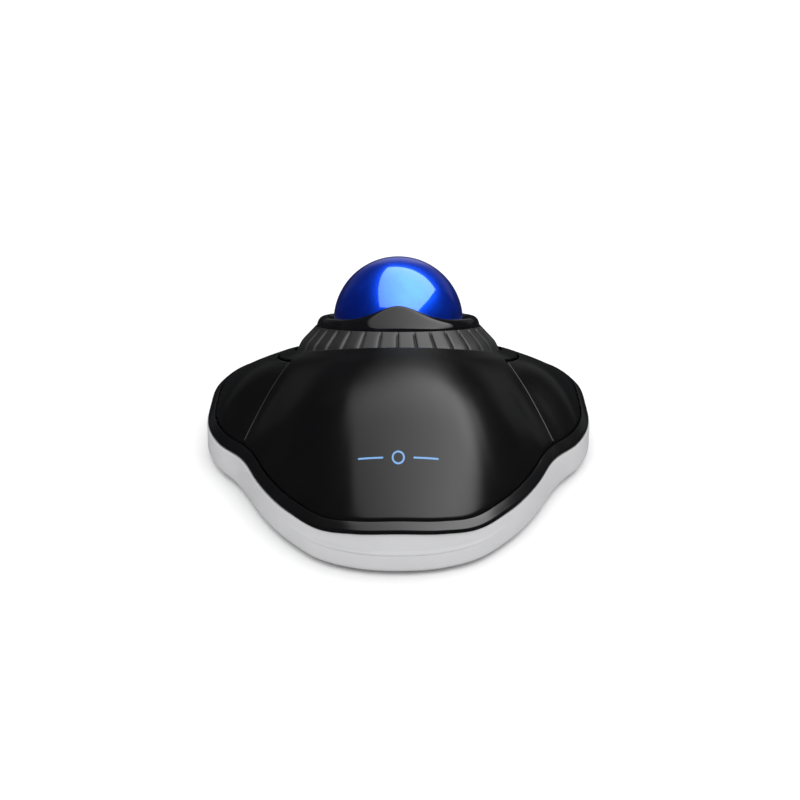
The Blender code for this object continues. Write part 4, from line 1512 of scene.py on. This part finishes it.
    def build(self, bench: Bench) -> Object:
        """Builds and seats the ball's pieces.

        Args:
            bench: Where the pieces are seated.

        Returns:
            The ball.
        """
        ball = bench.seat("pearl_ball", self.ball_mesh(), Finishes.ball, Body.BALL, ["ball"], 80)
        bench.seat("gloss_collar", self.collar_mesh(), Finishes.collar, stands_for=["collar"], sharp=50)
        bench.seat("ball_bowl", self.bowl_mesh(), Finishes.nylon, stands_for=["ball_cup"], sharp=35)
        bench.seat("channel_frame", self.frame_mesh(), Finishes.nylon, stands_for=["chassis"], sharp=35)
        round_profile = arc((self.bearing_radius, self.bearing_radius), (90, -90), 21)
        for number, place in enumerate(self.bearing_places(), 1):
            bead = moved(turned("bead", round_profile, 40), self.hub.matrix() @ at(*place))
            stands_for = [f"support_ball_{number}"]
            bench.seat(f"ruby_bearing_{number}", bead, Finishes.ruby, stands_for=stands_for, sharp=80)
        return ball


@dataclass
class ScrollWheel:
    """Rubber-clad scroll ring with ratchet-like ribs, its light skirt and the light gate."""

    hub: Hub
    teeth: int = 32
    tooth_depth: float = 0.8
    smooth_strip: float = 25.1
    flange: float = 32.6
    track: float = -12.5
    ribbed: Knots = (
        (25.9, -2.0), (27.3, -3.4), (29.2, -5.4), (30.0, -6.6), (30.7, -8.1), (31.1, -9.2),
    )
    # Across one tooth: share of the pitch and how deep the surface lies there.
    tooth: Knots = (
        (0.0, 1.25), (0.02, 0.95), (0.045, 0.42), (0.08, 0.30), (0.2, 0.28), (0.45, 0.20), (0.62, 0.13),
        (0.79, 0.10), (0.825, 0.20), (0.88, 0.50), (0.91, 0.80), (0.935, 1.20), (0.965, 1.32), (1.0, 1.25),
    )
    skirt_slots: int = 24

    def sector(self) -> Mesh:
        """One tooth's share of the ring, open at both sides, with its depth stored on it."""
        face = flowing([(25.2, -1.3), *self.ribbed, (31.1, -10.4)], 4)
        edge, track = self.flange, self.track
        under = np.array([
            (31.1, -11.4), (edge - 0.2, -11.4), (edge, -11.55), (edge, track + 0.4),
            (edge - 0.15, track + 0.3), (26.8, track + 0.3), (26.6, track + 0.5), (26.6, -4.6),
            (25.2, -2.8), (25.05, -2.0), (25.05, -1.45),
        ])
        pitch = 360.0 / self.teeth
        sections, depths = [], []
        for share, deep in self.tooth:
            fade = np.clip((face[:, 0] - self.smooth_strip) / 1.6, 0.0, 1.0)
            foot = np.clip((face[:, 1] + 10.6) / 0.8, 0.0, 1.0)
            cut = deep * fade * foot
            outer = np.column_stack([face[:, 0] - self.tooth_depth * cut, face[:, 1]])
            radius, height = np.vstack([outer, under]).T
            turn = math.radians(pitch * share)
            sections.append(stacked(radius * math.sin(turn), -radius * math.cos(turn), height))
            # The stored depth also sets the rubber's painted shade; the underside is stored as fully deep, so
            # it is painted dark too.
            depths.append(np.concatenate([cut, np.ones(len(under))]))
        grid = np.array(sections)
        cells = woven(*grid.shape[:2], join_columns=True).reshape(-1, 4)
        mesh = bpy.data.meshes.new("tooth")
        mesh.from_pydata((grid.reshape(-1, 3) * MM).tolist(), [], cells.tolist())
        groove = mesh.attributes.new("groove", "FLOAT", "POINT")
        groove.data.foreach_set("value", np.array(depths, np.float32).ravel())
        return mesh

    def ring_mesh(self, bench: Bench) -> Mesh:
        """The whole ring, repeated from one tooth."""
        finish = bench.material(Finishes.ring)
        turn = 360.0 / self.teeth
        ring = bench.repeater.run(self.sector(), self.teeth, turn=turn, weld=0.01, finish=finish)
        bm = bmesh.new()
        bm.from_mesh(ring)
        bmesh.ops.recalc_face_normals(bm, faces=bm.faces)
        return moved(kept("ring", bm), self.hub.matrix())

    def skirt_mesh(self, bench: Bench) -> Mesh:
        """Castellated skirt that hangs from the ring and passes through the light gate."""
        skirt = turned("skirt", ((27.1, -16.3), (28.3, -16.3), (28.3, self.track), (27.1, self.track)), 144)
        slot = block("slot", (-1.6, 26.2, -17.2), (1.6, 29.2, -13.9), 0)
        slots = bench.repeater.run(slot, self.skirt_slots, turn=360.0 / self.skirt_slots)
        return moved(eased(combined(skirt, "DIFFERENCE", slots), 0.08, 2), self.hub.matrix())

    def gate_mesh(self, bench: Bench) -> Mesh:
        """Light gate: a block with two arms astride the skirt, lens slits and four leads."""
        gate = block("gate", (-3.8, 23.9, -19.7), (3.8, 31.5, -14.3), 0.25)
        gap = block("gap", (-6.0, 26.4, -17.3), (6.0, 29.0, -13.1), 0)
        slits = [block("slit", (-0.5, y - 0.4, -16.6), (0.5, y + 0.4, -14.9), 0) for y in (26.3, 29.1)]
        leads = block("lead", (-2.8, 25.0, -20.6), (-2.4, 25.4, -19.6), 0.05)
        for step in ((5.2, 0, 0), (0, 5.2, 0)):
            leads = bench.repeater.run(leads, 2, step=step)
        gate = joined("gate", combined(gate, "DIFFERENCE", gap, *slits), leads)
        return moved(gate, self.hub.matrix())

    def build(self, bench: Bench) -> None:
        """Builds and seats the wheel's pieces."""
        ring, dark = Body.SCROLL_RING, Finishes.component
        bench.seat("ribbed_ring", self.ring_mesh(bench), Finishes.ring, ring, ["scroll_ring"], 42)
        bench.seat("light_skirt", self.skirt_mesh(bench), dark, ring, ["encoder_ring"], 35)
        bench.seat("light_gate", self.gate_mesh(bench), dark, Body.HOUSING, ["scroll_sensor"], 35)


# ---- Electronics ----


@dataclass
class Electronics:
    """Circuit board with the sensor, the lamp, the switches, a controller, a socket and a capacitor."""

    legs: Knots
    posts: Knots
    board_bottom: float = 6.4
    board_top: float = 8.0
    half_outline: Knots = ((30, -10), (30, 2), (49, 2), (49, 26), (37, 26), (37, 50))
    corner: float = 1.2
    lead_thickness: float = 0.16
    lead_room: float = 1.1
    leads_on_a_side: int = 8

    def board_mesh(self) -> Mesh:
        """Board with rounded corners and its holes."""
        outline = [*self.half_outline, *((-x, y) for x, y in reversed(self.half_outline))]
        bm = bmesh.new()
        face = bm.faces.new([bm.verts.new(Vector((x, y, self.board_bottom)) * MM) for x, y in outline])
        grown = bmesh.ops.extrude_face_region(bm, geom=[face])["geom"]
        lifted = [item for item in grown if isinstance(item, bmesh.types.BMVert)]
        bmesh.ops.translate(bm, verts=lifted, vec=(0, 0, (self.board_top - self.board_bottom) * MM))
        round_upright(bm, self.corner, 5)
        bmesh.ops.recalc_face_normals(bm, faces=bm.faces)
        cuts = [rod("hole", (x, y, 5), (x, y, 10), 3.6, 48) for x, y in self.legs]
        cuts += [rod("hole", (x, y, 5), (x, y, 10), 1.5, 32) for x, y in self.posts]
        return eased(combined(kept("board", bm), "DIFFERENCE", *cuts), 0.06, 2)

    def lead(self, top: float) -> Mesh:
        """Gull-wing lead that leaves a body toward +x at this height and lands on the board."""
        thick, half, foot = self.lead_thickness, 0.16, self.board_top + 0.02
        path = (
            (-0.3, top), (0.28, top), (0.5, foot + thick), (1.0, foot + thick),
            (1.0, foot), (0.42, foot), (0.2, top - thick), (-0.3, top - thick),
        )
        points = np.array([[(x, y, z) for x, z in path] for y in (-half, half)])
        count = len(path)
        sides = woven(2, count, join_columns=True).reshape(-1, 4).tolist()
        return mesh_of("lead", points, [*sides, list(range(count)), list(range(count, 2 * count))])

    def lead_rows(self, bench: Bench, size: Pair, sides: int, middle: Vector) -> Mesh:
        """Repeats leads along the sides of a chip.

        Args:
            bench: Where the repeater is.
            size: Body width and depth, in millimetres.
            sides: 2 or 4 sides.
            middle: Place of the chip.

        Returns:
            All its leads.
        """
        count = self.leads_on_a_side
        pitch = size[1] / (count + 0.6)
        first = moved(self.lead(self.board_top + 0.75), at(size[0] / 2, -pitch * (count - 1) / 2, 0))
        row = bench.repeater.run(first, count, step=(0, pitch, 0))
        whole = bench.repeater.run(row, sides, turn=360.0 / sides)
        return moved(whole, at(middle.x, middle.y, 0))

    def chip(self, bench: Bench, name: str, node: str, window: float) -> None:
        """Seats a chip with a dimple by its first lead, and its leads.

        Args:
            bench: Where the pieces are seated.
            name: Start of the pieces' names.
            node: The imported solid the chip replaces.
            window: Radius of its light window, which goes with leads on two sides, or 0 for four.
        """
        low, high = extent(node)
        room, middle = self.lead_room, (low + high) / 2
        end = 0.2 if window else room
        start, stop = (low.x + room, low.y + end, low.z - 0.1), (high.x - room, high.y - end, high.z)
        body = block(name, start, stop, 0.12)
        x, y, face = low.x + room + 0.9, high.y - room - 0.9, high.z
        cuts = [rod("dimple", (x, y, face - 0.12), (x, y, face + 1), 0.4, 24)]
        if window:
            x, y, _ = middle
            cuts.append(rod("window", (x, y, face - 0.6), (x, y, face + 1), window, 40))
        body = combined(body, "DIFFERENCE", *cuts)
        bench.seat(f"{name}_package", body, Finishes.component, stands_for=[node], sharp=35)
        size = (high.x - low.x - 2 * room, high.y - low.y - 2 * end)
        bench.seat(f"{name}_leads", self.lead_rows(bench, size, 2 if window else 4, middle), Finishes.tin)

    def on_node(self, bench: Bench, name: str, profile: Sequence[Pair], sides: int, node: str) -> None:
        """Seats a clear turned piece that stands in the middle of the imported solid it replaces.

        Args:
            bench: Where the piece is seated.
            name: Name of the piece.
            profile: (radius, height) corners, in millimetres.
            sides: Number of sides.
            node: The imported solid.
        """
        low, high = extent(node)
        place = at((low.x + high.x) / 2, (low.y + high.y) / 2, low.z)
        bench.seat(name, moved(turned(name, profile, sides), place), Finishes.clear, stands_for=[node])

    def lens_and_lamp(self, bench: Bench) -> None:
        """Sensor lens over the chip and the lamp beside it."""
        low, high = extent("sensor_lens")
        tall = high.z - low.z
        dome = arc((2.6, 0.8), (math.degrees(0.12), 90), 12, (0, tall - 0.8))
        flange = ((0, 0), (4.4, 0), (4.6, 0.2), (4.6, 0.8), (4.4, 1.0), (3.0, 1.0))
        self.on_node(bench, "sensor_optic", (*flange, *dome[:-1], (0, tall)), 72, "sensor_lens")
        dome = arc((1.35, 1.35), (0, 90), 12, (0, 3.1))
        collar = ((0, 0.1), (1.6, 0.1), (1.6, 0.8), (1.35, 0.9))
        self.on_node(bench, "sensor_lamp", (*collar, *dome[:-1], (0, 4.45)), 48, "sensor_led")

    def socket(self, bench: Bench) -> None:
        """Cable socket with its pins."""
        low, high = extent("cable_header")
        x, y, z = low
        well = block("well", (x + 0.6, y + 0.6, z + 1.0), (high.x - 0.6, high.y - 0.6, high.z + 1), 0)
        key = block("key", (x + 3.0, high.y - 1.0, z + 1.6), (high.x - 3.0, high.y + 1, high.z + 1), 0)
        shell = combined(combined(block("socket", low, high, 0.2), "DIFFERENCE", well), "DIFFERENCE", key)
        bench.seat("cable_socket", shell, Finishes.white, stands_for=["cable_header"], sharp=35)
        row = (y + high.y) / 2
        pin = block("pin", (x + 1.3, row - 0.25, self.board_top), (x + 1.8, row + 0.25, high.z - 0.5), 0.08)
        bench.seat("socket_pins", bench.repeater.run(pin, 5, step=(1.5, 0, 0)), Finishes.tin)

    def can(self, bench: Bench) -> None:
        """Supply capacitor with a rolled neck and a cross on its top."""
        low, high = extent("capacitor")
        middle, r, tall = (low + high) / 2, (high.x - low.x) / 2, high.z - low.z
        profile = (
            (0, 0), (r, 0), (r, 0.9), (r - 0.25, 1.1), (r - 0.25, 1.35), (r, 1.55),
            (r, tall - 0.5), (r - 0.15, tall - 0.15), (r - 0.5, tall), (0, tall),
        )
        body = turned("can", profile, 64)
        vent = block("vent", (-r * 0.7, -0.12, tall - 0.18), (r * 0.7, 0.12, tall + 1), 0)
        for turn in (0, 90):
            body = combined(body, "DIFFERENCE", moved(vent, spun(turn)))
        body = moved(body, at(middle.x, middle.y, low.z))
        bench.seat("capacitor_can", body, Finishes.can, stands_for=["capacitor"], sharp=30)

    def switch(self, bench: Bench, side: Side) -> None:
        """Micro switch and plunger under this side's button."""
        name = side.name.lower()
        low, high = extent(f"{name}_switch")
        (x, y, _), split, rim = (low + high) / 2, low.z + 3.4, 0.15
        lower = block("lower", low, (high.x, high.y, split), rim)
        start, end = (low.x + rim, low.y + rim, split - 0.05), (high.x - rim, high.y - rim, high.z)
        slot = block("slot", (x - 1.0, y - 1.8, high.z - 2.5), (x + 1.0, y + 1.8, high.z + 1), 0)
        case = combined(combined(lower, "UNION", block("upper", start, end, 0.3)), "DIFFERENCE", slot)
        bench.seat(f"{name}_switch_case", case, Finishes.component, stands_for=[f"{name}_switch"], sharp=35)
        start, end = (x - 0.3, low.y + 1.1, self.board_top - 2.6), (x + 0.3, low.y + 1.5, low.z + 0.5)
        pins = bench.repeater.run(block("pin", start, end, 0.06), 3, step=(0, 5.08, 0))
        bench.seat(f"{name}_switch_pins", pins, Finishes.tin)
        node, body = f"{name}_switch_plunger", Body[f"{side.name}_PLUNGER"]
        plunger = eased(block("plunger", *extent(node), 0), 0.3, 4)
        bench.seat(f"{name}_plunger_tip", plunger, Finishes.white, body, [node])

    def build(self, bench: Bench) -> None:
        """Builds and seats the board and all that stands on it."""
        bench.seat("circuit_board", self.board_mesh(), Finishes.board, stands_for=["main_board"], sharp=30)
        self.chip(bench, "sensor", "sensor_chip", 1.4)
        self.chip(bench, "controller", "controller_chip", 0.0)
        self.lens_and_lamp(bench)
        self.socket(bench)
        self.can(bench)
        for side in Side:
            self.switch(bench, side)


# ---- Fasteners, feet, gland and sticker ----


@dataclass
class Fasteners:
    """Cross-recessed screws: four in the base, two on the board and three in the bowl's ears."""

    hub: Hub

    def screw(self, head: float, rise: float, shank: float, length: float) -> Mesh:
        """Pan-head screw with its head down and a rolled thread.

        Args:
            head: Radius of the head, in millimetres.
            rise: Height of the head.
            shank: Radius of the shank.
            length: Length of the shank.

        Returns:
            The mesh, standing on its head at the origin.
        """
        crown = arc((head, rise * 0.55), (-90, 0), 8, (0, rise * 0.55))[1:]
        thread, z = [], rise + 0.35
        while z < rise + length - 0.7:
            thread += [(shank * 0.82, z), (shank, z + 0.16), (shank, z + 0.22), (shank * 0.82, z + 0.4)]
            z += 0.5
        tip = [(shank * 0.82, rise + length - 0.45), (shank * 0.3, rise + length), (0, rise + length)]
        profile = [(0, 0), *crown, (head, rise), (shank * 0.82, rise), *thread, *tip]
        body = turned("screw", profile, 40)
        arm = block("arm", (-head * 0.55, -head * 0.1, -1.0), (head * 0.55, head * 0.1, rise * 0.8), 0)
        for turn in (25.0, 115.0):
            body = combined(body, "DIFFERENCE", moved(arm, spun(turn)))
        return body

    def build(self, bench: Bench) -> None:
        """Builds and seats every screw."""
        over = Matrix.Rotation(math.pi, 4, "X")
        turns = {f"base_screw_{number}": None for number in range(1, 5)}
        turns |= {f"board_screw_{number}": over for number in (1, 2)}
        jobs = []
        for node, turn in turns.items():
            low, high = extent(node)
            place = at((low.x + high.x) / 2, (low.y + high.y) / 2, high.z if turn else low.z)
            jobs.append((node, place @ turn if turn else place))
        for number, angle in enumerate(BallNest.ear_angles, 1):
            place = self.hub.matrix() @ spun(angle) @ at(0, -BallNest.ear_circle, -21.5)
            jobs.append((f"cup_screw_{number}", place))
        shapes = {
            "base": ("tray", self.screw(2.4, 0.8, 1.1, 7.5)),
            "board": ("post", self.screw(2.4, 1.2, 0.8, 3.8)),
            "cup": ("ear", self.screw(1.8, 0.9, 0.65, 6.5)),
        }
        for node, place in jobs:
            kind, _, number = node.split("_")
            part, mesh = shapes[kind]
            name = f"{part}_screw_{number}"
            bench.seat(name, moved(mesh, place), Finishes.steel, stands_for=[node], sharp=30)


@dataclass
class Underside:
    """Four round feet, the blank sticker and the cable gland."""

    feet: Knots
    plan: Plan
    foot_radius: float = 5.0
    foot_top: float = 1.3
    wall: float = 2.2
    cable_height: float = 6.0

    def foot_mesh(self) -> Mesh:
        """Foot with a rolled lower edge and two shallow grip rings."""
        radius = self.foot_radius
        rings = []
        for ring in (1.6, 3.1):
            rings += [(ring, 0.0), (ring + 0.12, 0.14), (ring + 0.38, 0.14), (ring + 0.5, 0.0)]
        edge = arc((0.4, 0.4), (-90, 0), 6, (radius - 0.4, 0.4))
        return turned("foot", [(0, 0), *rings, *edge, (radius, self.foot_top), (0, self.foot_top)], 96)

    def gland_mesh(self) -> Mesh:
        """Bush with a flared mouth, a flange inside the wall and a hole for the cord."""
        profile = (
            (1.6, 0.0), (2.5, 0.0), (2.65, 0.15), (2.65, 1.05), (2.5, 1.2), (2.0, 1.2),
            (2.0, 3.2), (1.9, 3.5), (1.75, 3.5), (1.6, 3.3),
        )
        far = self.plan.point(np.array([180.0]), self.wall, self.cable_height)[0]
        place = at(far[0], far[1] - 1.5, far[2]) @ Matrix.Rotation(-math.pi / 2, 4, "X")
        return moved(turned("gland", profile, 64), place)

    def build(self, bench: Bench) -> None:
        """Builds and seats the feet, the sticker and the gland."""
        foot = self.foot_mesh()
        for number, (x, y) in enumerate(self.feet, 1):
            name, node = f"rubber_foot_{number}", f"foot_{number}"
            bench.seat(name, moved(foot, at(x, y, 0)), Finishes.foot, stands_for=[node], sharp=35)
        low, high = extent("rating_label")
        (x, y, _), (width, depth, _) = (low + high) / 2, high - low
        place = Matrix.Translation((x, y, 0.91)) @ Matrix.Diagonal((width, depth, 0.14, 1.0))
        bm = bmesh.new()
        bmesh.ops.create_cube(bm, size=1.0, matrix=Matrix.Scale(MM, 4) @ place)
        round_upright(bm, 1.2, 6)
        sticker = kept("sticker", bm)
        bench.seat("blank_sticker", sticker, Finishes.paper, stands_for=["rating_label"], sharp=30)
        bench.seat("gland_bush", self.gland_mesh(), Finishes.foot, stands_for=["cable_gland"], sharp=35)


# ---- Studio ----

Glow = Callable[[Value, Value, Value], Value]


@dataclass
class Studio:
    """Pale floor, soft light from ceiling panels, a dim backdrop and a camera above the user's edge.

    All in metres and degrees. The near and wide panels' sizes and places are in panel heights,
    and their places are measured from the ball's centre.
    """

    hub: Hub
    ball: Object
    camera_rise: float = 25.0
    camera_distance: float = 0.8
    focal_length: float = 117.7
    aim: Vector = field(default_factory=lambda: Vector((0.52, -10.21, -21.90)) * MM)
    floor_size: float = 12.0
    panel_height: float = 0.9
    near_size: Pair = (1.74, 1.96)
    near_place: Triple = (0.31, -0.05, 1.0)
    near_turn: float = -15.0
    wide_size: Pair = (4.1, 3.0)
    wide_place: Triple = (1.25, 0.43, 1.0)
    backdrop_size: Pair = (2.4, 0.72)
    backdrop_place: Triple = (0.1, 1.1, 0.36)
    ball_glow: Pair = (2.3, 3.6)
    ball_tint: Colour = (0.95, 1.6, 1.35)
    cover_glow: Pair = (0.85, 2.9)
    backdrop_glow: Pair = (0.22, 0.5)
    soft_glow: float = 1.5
    fill: float = 0.95
    mirrored_fill: float = 0.02
    seen_fill: float = 1.05

    def floor(self) -> None:
        """Plain pale floor, which polished pieces don't mirror and which is clear from below."""
        half = self.floor_size / 2
        mesh = bpy.data.meshes.new("floor")
        square = [(-half, -half, 0), (half, -half, 0), (half, half, 0), (-half, half, 0)]
        mesh.from_pydata(square, [], [(0, 1, 2, 3)])
        paint = Paint("pale_floor")
        tone = paint.mix(paint.noise(60.0, 2.0), (0.90, 0.90, 0.90), (0.92, 0.92, 0.92))
        above = 1.0 - Value(paint, paint.node("ShaderNodeNewGeometry").outputs["Backfacing"])
        mesh.materials.append(paint.done({
            "Base Color": tone, "Roughness": 0.9, "Specular IOR Level": 0.0, "Alpha": above,
        }))
        floor = listed("floor", mesh)
        floor.visible_glossy = False

    def panel(
        self,
        name: str,
        size: Pair,
        place: Vector,
        aim: Vector,
        glow: Glow | float,
        turn: float = 0.0,
        tint: Colour = (1.0, 1.0, 1.0),
    ) -> Object:
        """Hangs one soft light panel.

        Args:
            name: Name of the light.
            size: Width and depth, in metres.
            place: Its middle.
            aim: Point it faces.
            glow: Even brightness of a panel that only lights matt surfaces, or else how bright a
                panel that only shows in polished ones is at each of its points.
            turn: Turn about its own axis, in degrees.
            tint: Its colour.

        Returns:
            The light.
        """
        light = bpy.data.lights.new(name, "AREA")
        light.shape = "RECTANGLE"
        light.size, light.size_y = size
        light.energy = size[0] * size[1] * math.pi
        mirrored = callable(glow)
        if mirrored:
            wiring = Wiring(light)
            position = wiring.node("ShaderNodeNewGeometry").outputs["Position"]
            split = wiring.node("ShaderNodeSeparateXYZ", None, {0: position})
            strength = glow(*(Value(wiring, split.outputs[axis]) for axis in "XYZ"))
            emission = wiring.node("ShaderNodeEmission", None, {"Color": tint, "Strength": strength})
            wiring.node("ShaderNodeOutputLight", None, {0: emission.outputs[0]})
        else:
            light.energy *= glow
        lamp = listed(name, light)
        lamp.rotation_mode = "QUATERNION"
        facing = (place - aim).to_track_quat("Z", "Y")
        lamp.rotation_quaternion = facing @ Matrix.Rotation(math.radians(turn), 4, "Z").to_quaternion()
        lamp.location = place
        lamp.visible_camera = False
        lamp.visible_glossy = mirrored
        lamp.visible_diffuse = not mirrored
        return lamp

    def link(self, lamp: Object, state: str) -> None:
        """Lets a panel show in the ball only, or in everything but the ball."""
        receivers = bpy.data.collections.new(f"{lamp.name}_receivers")
        receivers.objects.link(self.ball)
        receivers.collection_objects[0].light_linking.link_state = state
        lamp.light_linking.receiver_collection = receivers

    def over_ball(self, x: Value, y: Value, z: Value) -> Value:
        """Brightness of the panel that the ball mirrors: a little dimmer to the left."""
        low, high = self.ball_glow
        return low + x.between(-0.6, 0.35) * (high - low)

    def over_cover(self, x: Value, y: Value, z: Value) -> Value:
        """Brightness of the panel that the rest mirrors: rising to the right, with soft edges."""
        high, (low, top) = self.panel_height, self.cover_glow
        across, along = x * (1 / high), (y - self.hub.centre.y) * (1 / high)
        left = (across - along * 0.3 + 0.66).between(-0.05, 0.07)
        rise = low + (across + 0.6).between(-0.3, 1.9) * (top - low)
        far = along.between(0.15, 0.75)
        start, width = 1.15 - far * 0.99, 2.0 - far * 1.38
        right = 1.0 - ((across - start) * width ** -1.0).between(0.0, 1.0)
        depth = along.between(1.15, 0.5) * 0.8 + along.between(2.1, 1.1) * 0.2
        soft = 1.0 - far * (1.0 - across.between(-0.6, 0.5))
        return left * soft * rise * right * (1.0 + along.between(-0.05, 0.5) * 0.35) * depth

    def behind(self, x: Value, y: Value, z: Value) -> Value:
        """Brightness of the backdrop: brighter in the middle and to the right, and fading upward."""
        low, high = self.backdrop_glow
        middle = 0.2 + x.absolute().between(0.4, 0.15) * 0.8
        return (low + x.between(-0.6, 0.6) * (high - low)) * z.between(0.72, 0.2) * middle

    def world(self) -> None:
        """White to the eye, dim in polished pieces and a soft grey fill elsewhere."""
        world = bpy.data.worlds.new("studio")
        bpy.context.scene.world = world
        wiring = Wiring(world)
        rays = wiring.node("ShaderNodeLightPath")
        shown = None
        for ray, colour, strength in (
            (None, (1, 1, 1), self.fill), ("Is Glossy Ray", (0.9, 0.95, 1.0), self.mirrored_fill),
            ("Is Camera Ray", (1, 1, 1), self.seen_fill),
        ):
            links = {"Color": colour, "Strength": strength}
            shade = wiring.node("ShaderNodeBackground", None, links).outputs[0]
            if ray:
                links = {0: rays.outputs[ray], 1: shown, 2: shade}
                shade = wiring.node("ShaderNodeMixShader", None, links).outputs[0]
            shown = shade
        wiring.node("ShaderNodeOutputWorld", None, {0: shown})

    def camera(self) -> None:
        """Camera on the object's centre plane, looking down over the user's edge."""
        data = bpy.data.cameras.new("camera")
        data.lens, data.sensor_width = self.focal_length, 36.0
        camera = listed("camera", data)
        rise = math.radians(self.camera_rise)
        away = Vector((0, -math.cos(rise), math.sin(rise)))
        camera.location = self.hub.centre + away * self.camera_distance
        camera.rotation_mode = "QUATERNION"
        camera.rotation_quaternion = (self.hub.centre + self.aim - camera.location).to_track_quat("-Z", "Y")
        bpy.context.scene.camera = camera

    def build(self) -> None:
        """Sets up the floor, the lights and the camera."""
        self.floor()
        self.world()
        self.camera()
        high, down, glow = self.panel_height, Vector((0, 0, -1)), self.over_ball
        near, wide = ([side * high for side in size] for size in (self.near_size, self.wide_size))
        place = self.hub.centre + Vector(self.near_place) * high
        ball = self.panel("ball_panel", near, place, place + down, glow, self.near_turn, self.ball_tint)
        self.link(ball, "INCLUDE")
        over = self.hub.centre + Vector(self.wide_place) * high
        self.link(self.panel("cover_panel", wide, over, over + down, self.over_cover), "EXCLUDE")
        self.panel("soft_panel", near, place, place + down, self.soft_glow)
        back = Vector(self.backdrop_place)
        self.panel("backdrop_panel", self.backdrop_size, back, back - Vector((0, 1, 0)), self.behind)
        bpy.context.scene.view_settings.view_transform = "Standard"


def middles(names: Iterable[str]) -> list[Pair]:
    """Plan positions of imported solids, in millimetres."""
    boxes = [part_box(name) for name in names]
    return [((low.x + high.x) / 2 / MM, (low.y + high.y) / 2 / MM) for low, high in boxes]


def main() -> None:
    """Builds every sub-assembly in order and the studio round them."""
    logging.basicConfig(level=logging.INFO, format="%(name)s: %(message)s")
    plan, hub, bench = Plan(), Hub.from_frame(), Bench()
    legs = middles(f"base_screw_{i}" for i in range(1, 5))
    posts = middles(f"board_screw_{i}" for i in range(1, 3))
    feet = middles(f"foot_{i}" for i in range(1, 5))
    BaseTray(plan, legs, feet, posts).build(bench)
    RimBead(plan).build(bench)
    cover = TopCover(Skin(plan, hub)).build(bench)
    PrintedMark(cover).build(bench)
    ball = BallNest(hub, legs).build(bench)
    ScrollWheel(hub).build(bench)
    Electronics(legs, posts).build(bench)
    Fasteners(hub).build(bench)
    Underside(feet, plan).build(bench)
    Studio(hub, ball).build()


if __name__ == "__main__":
    main()
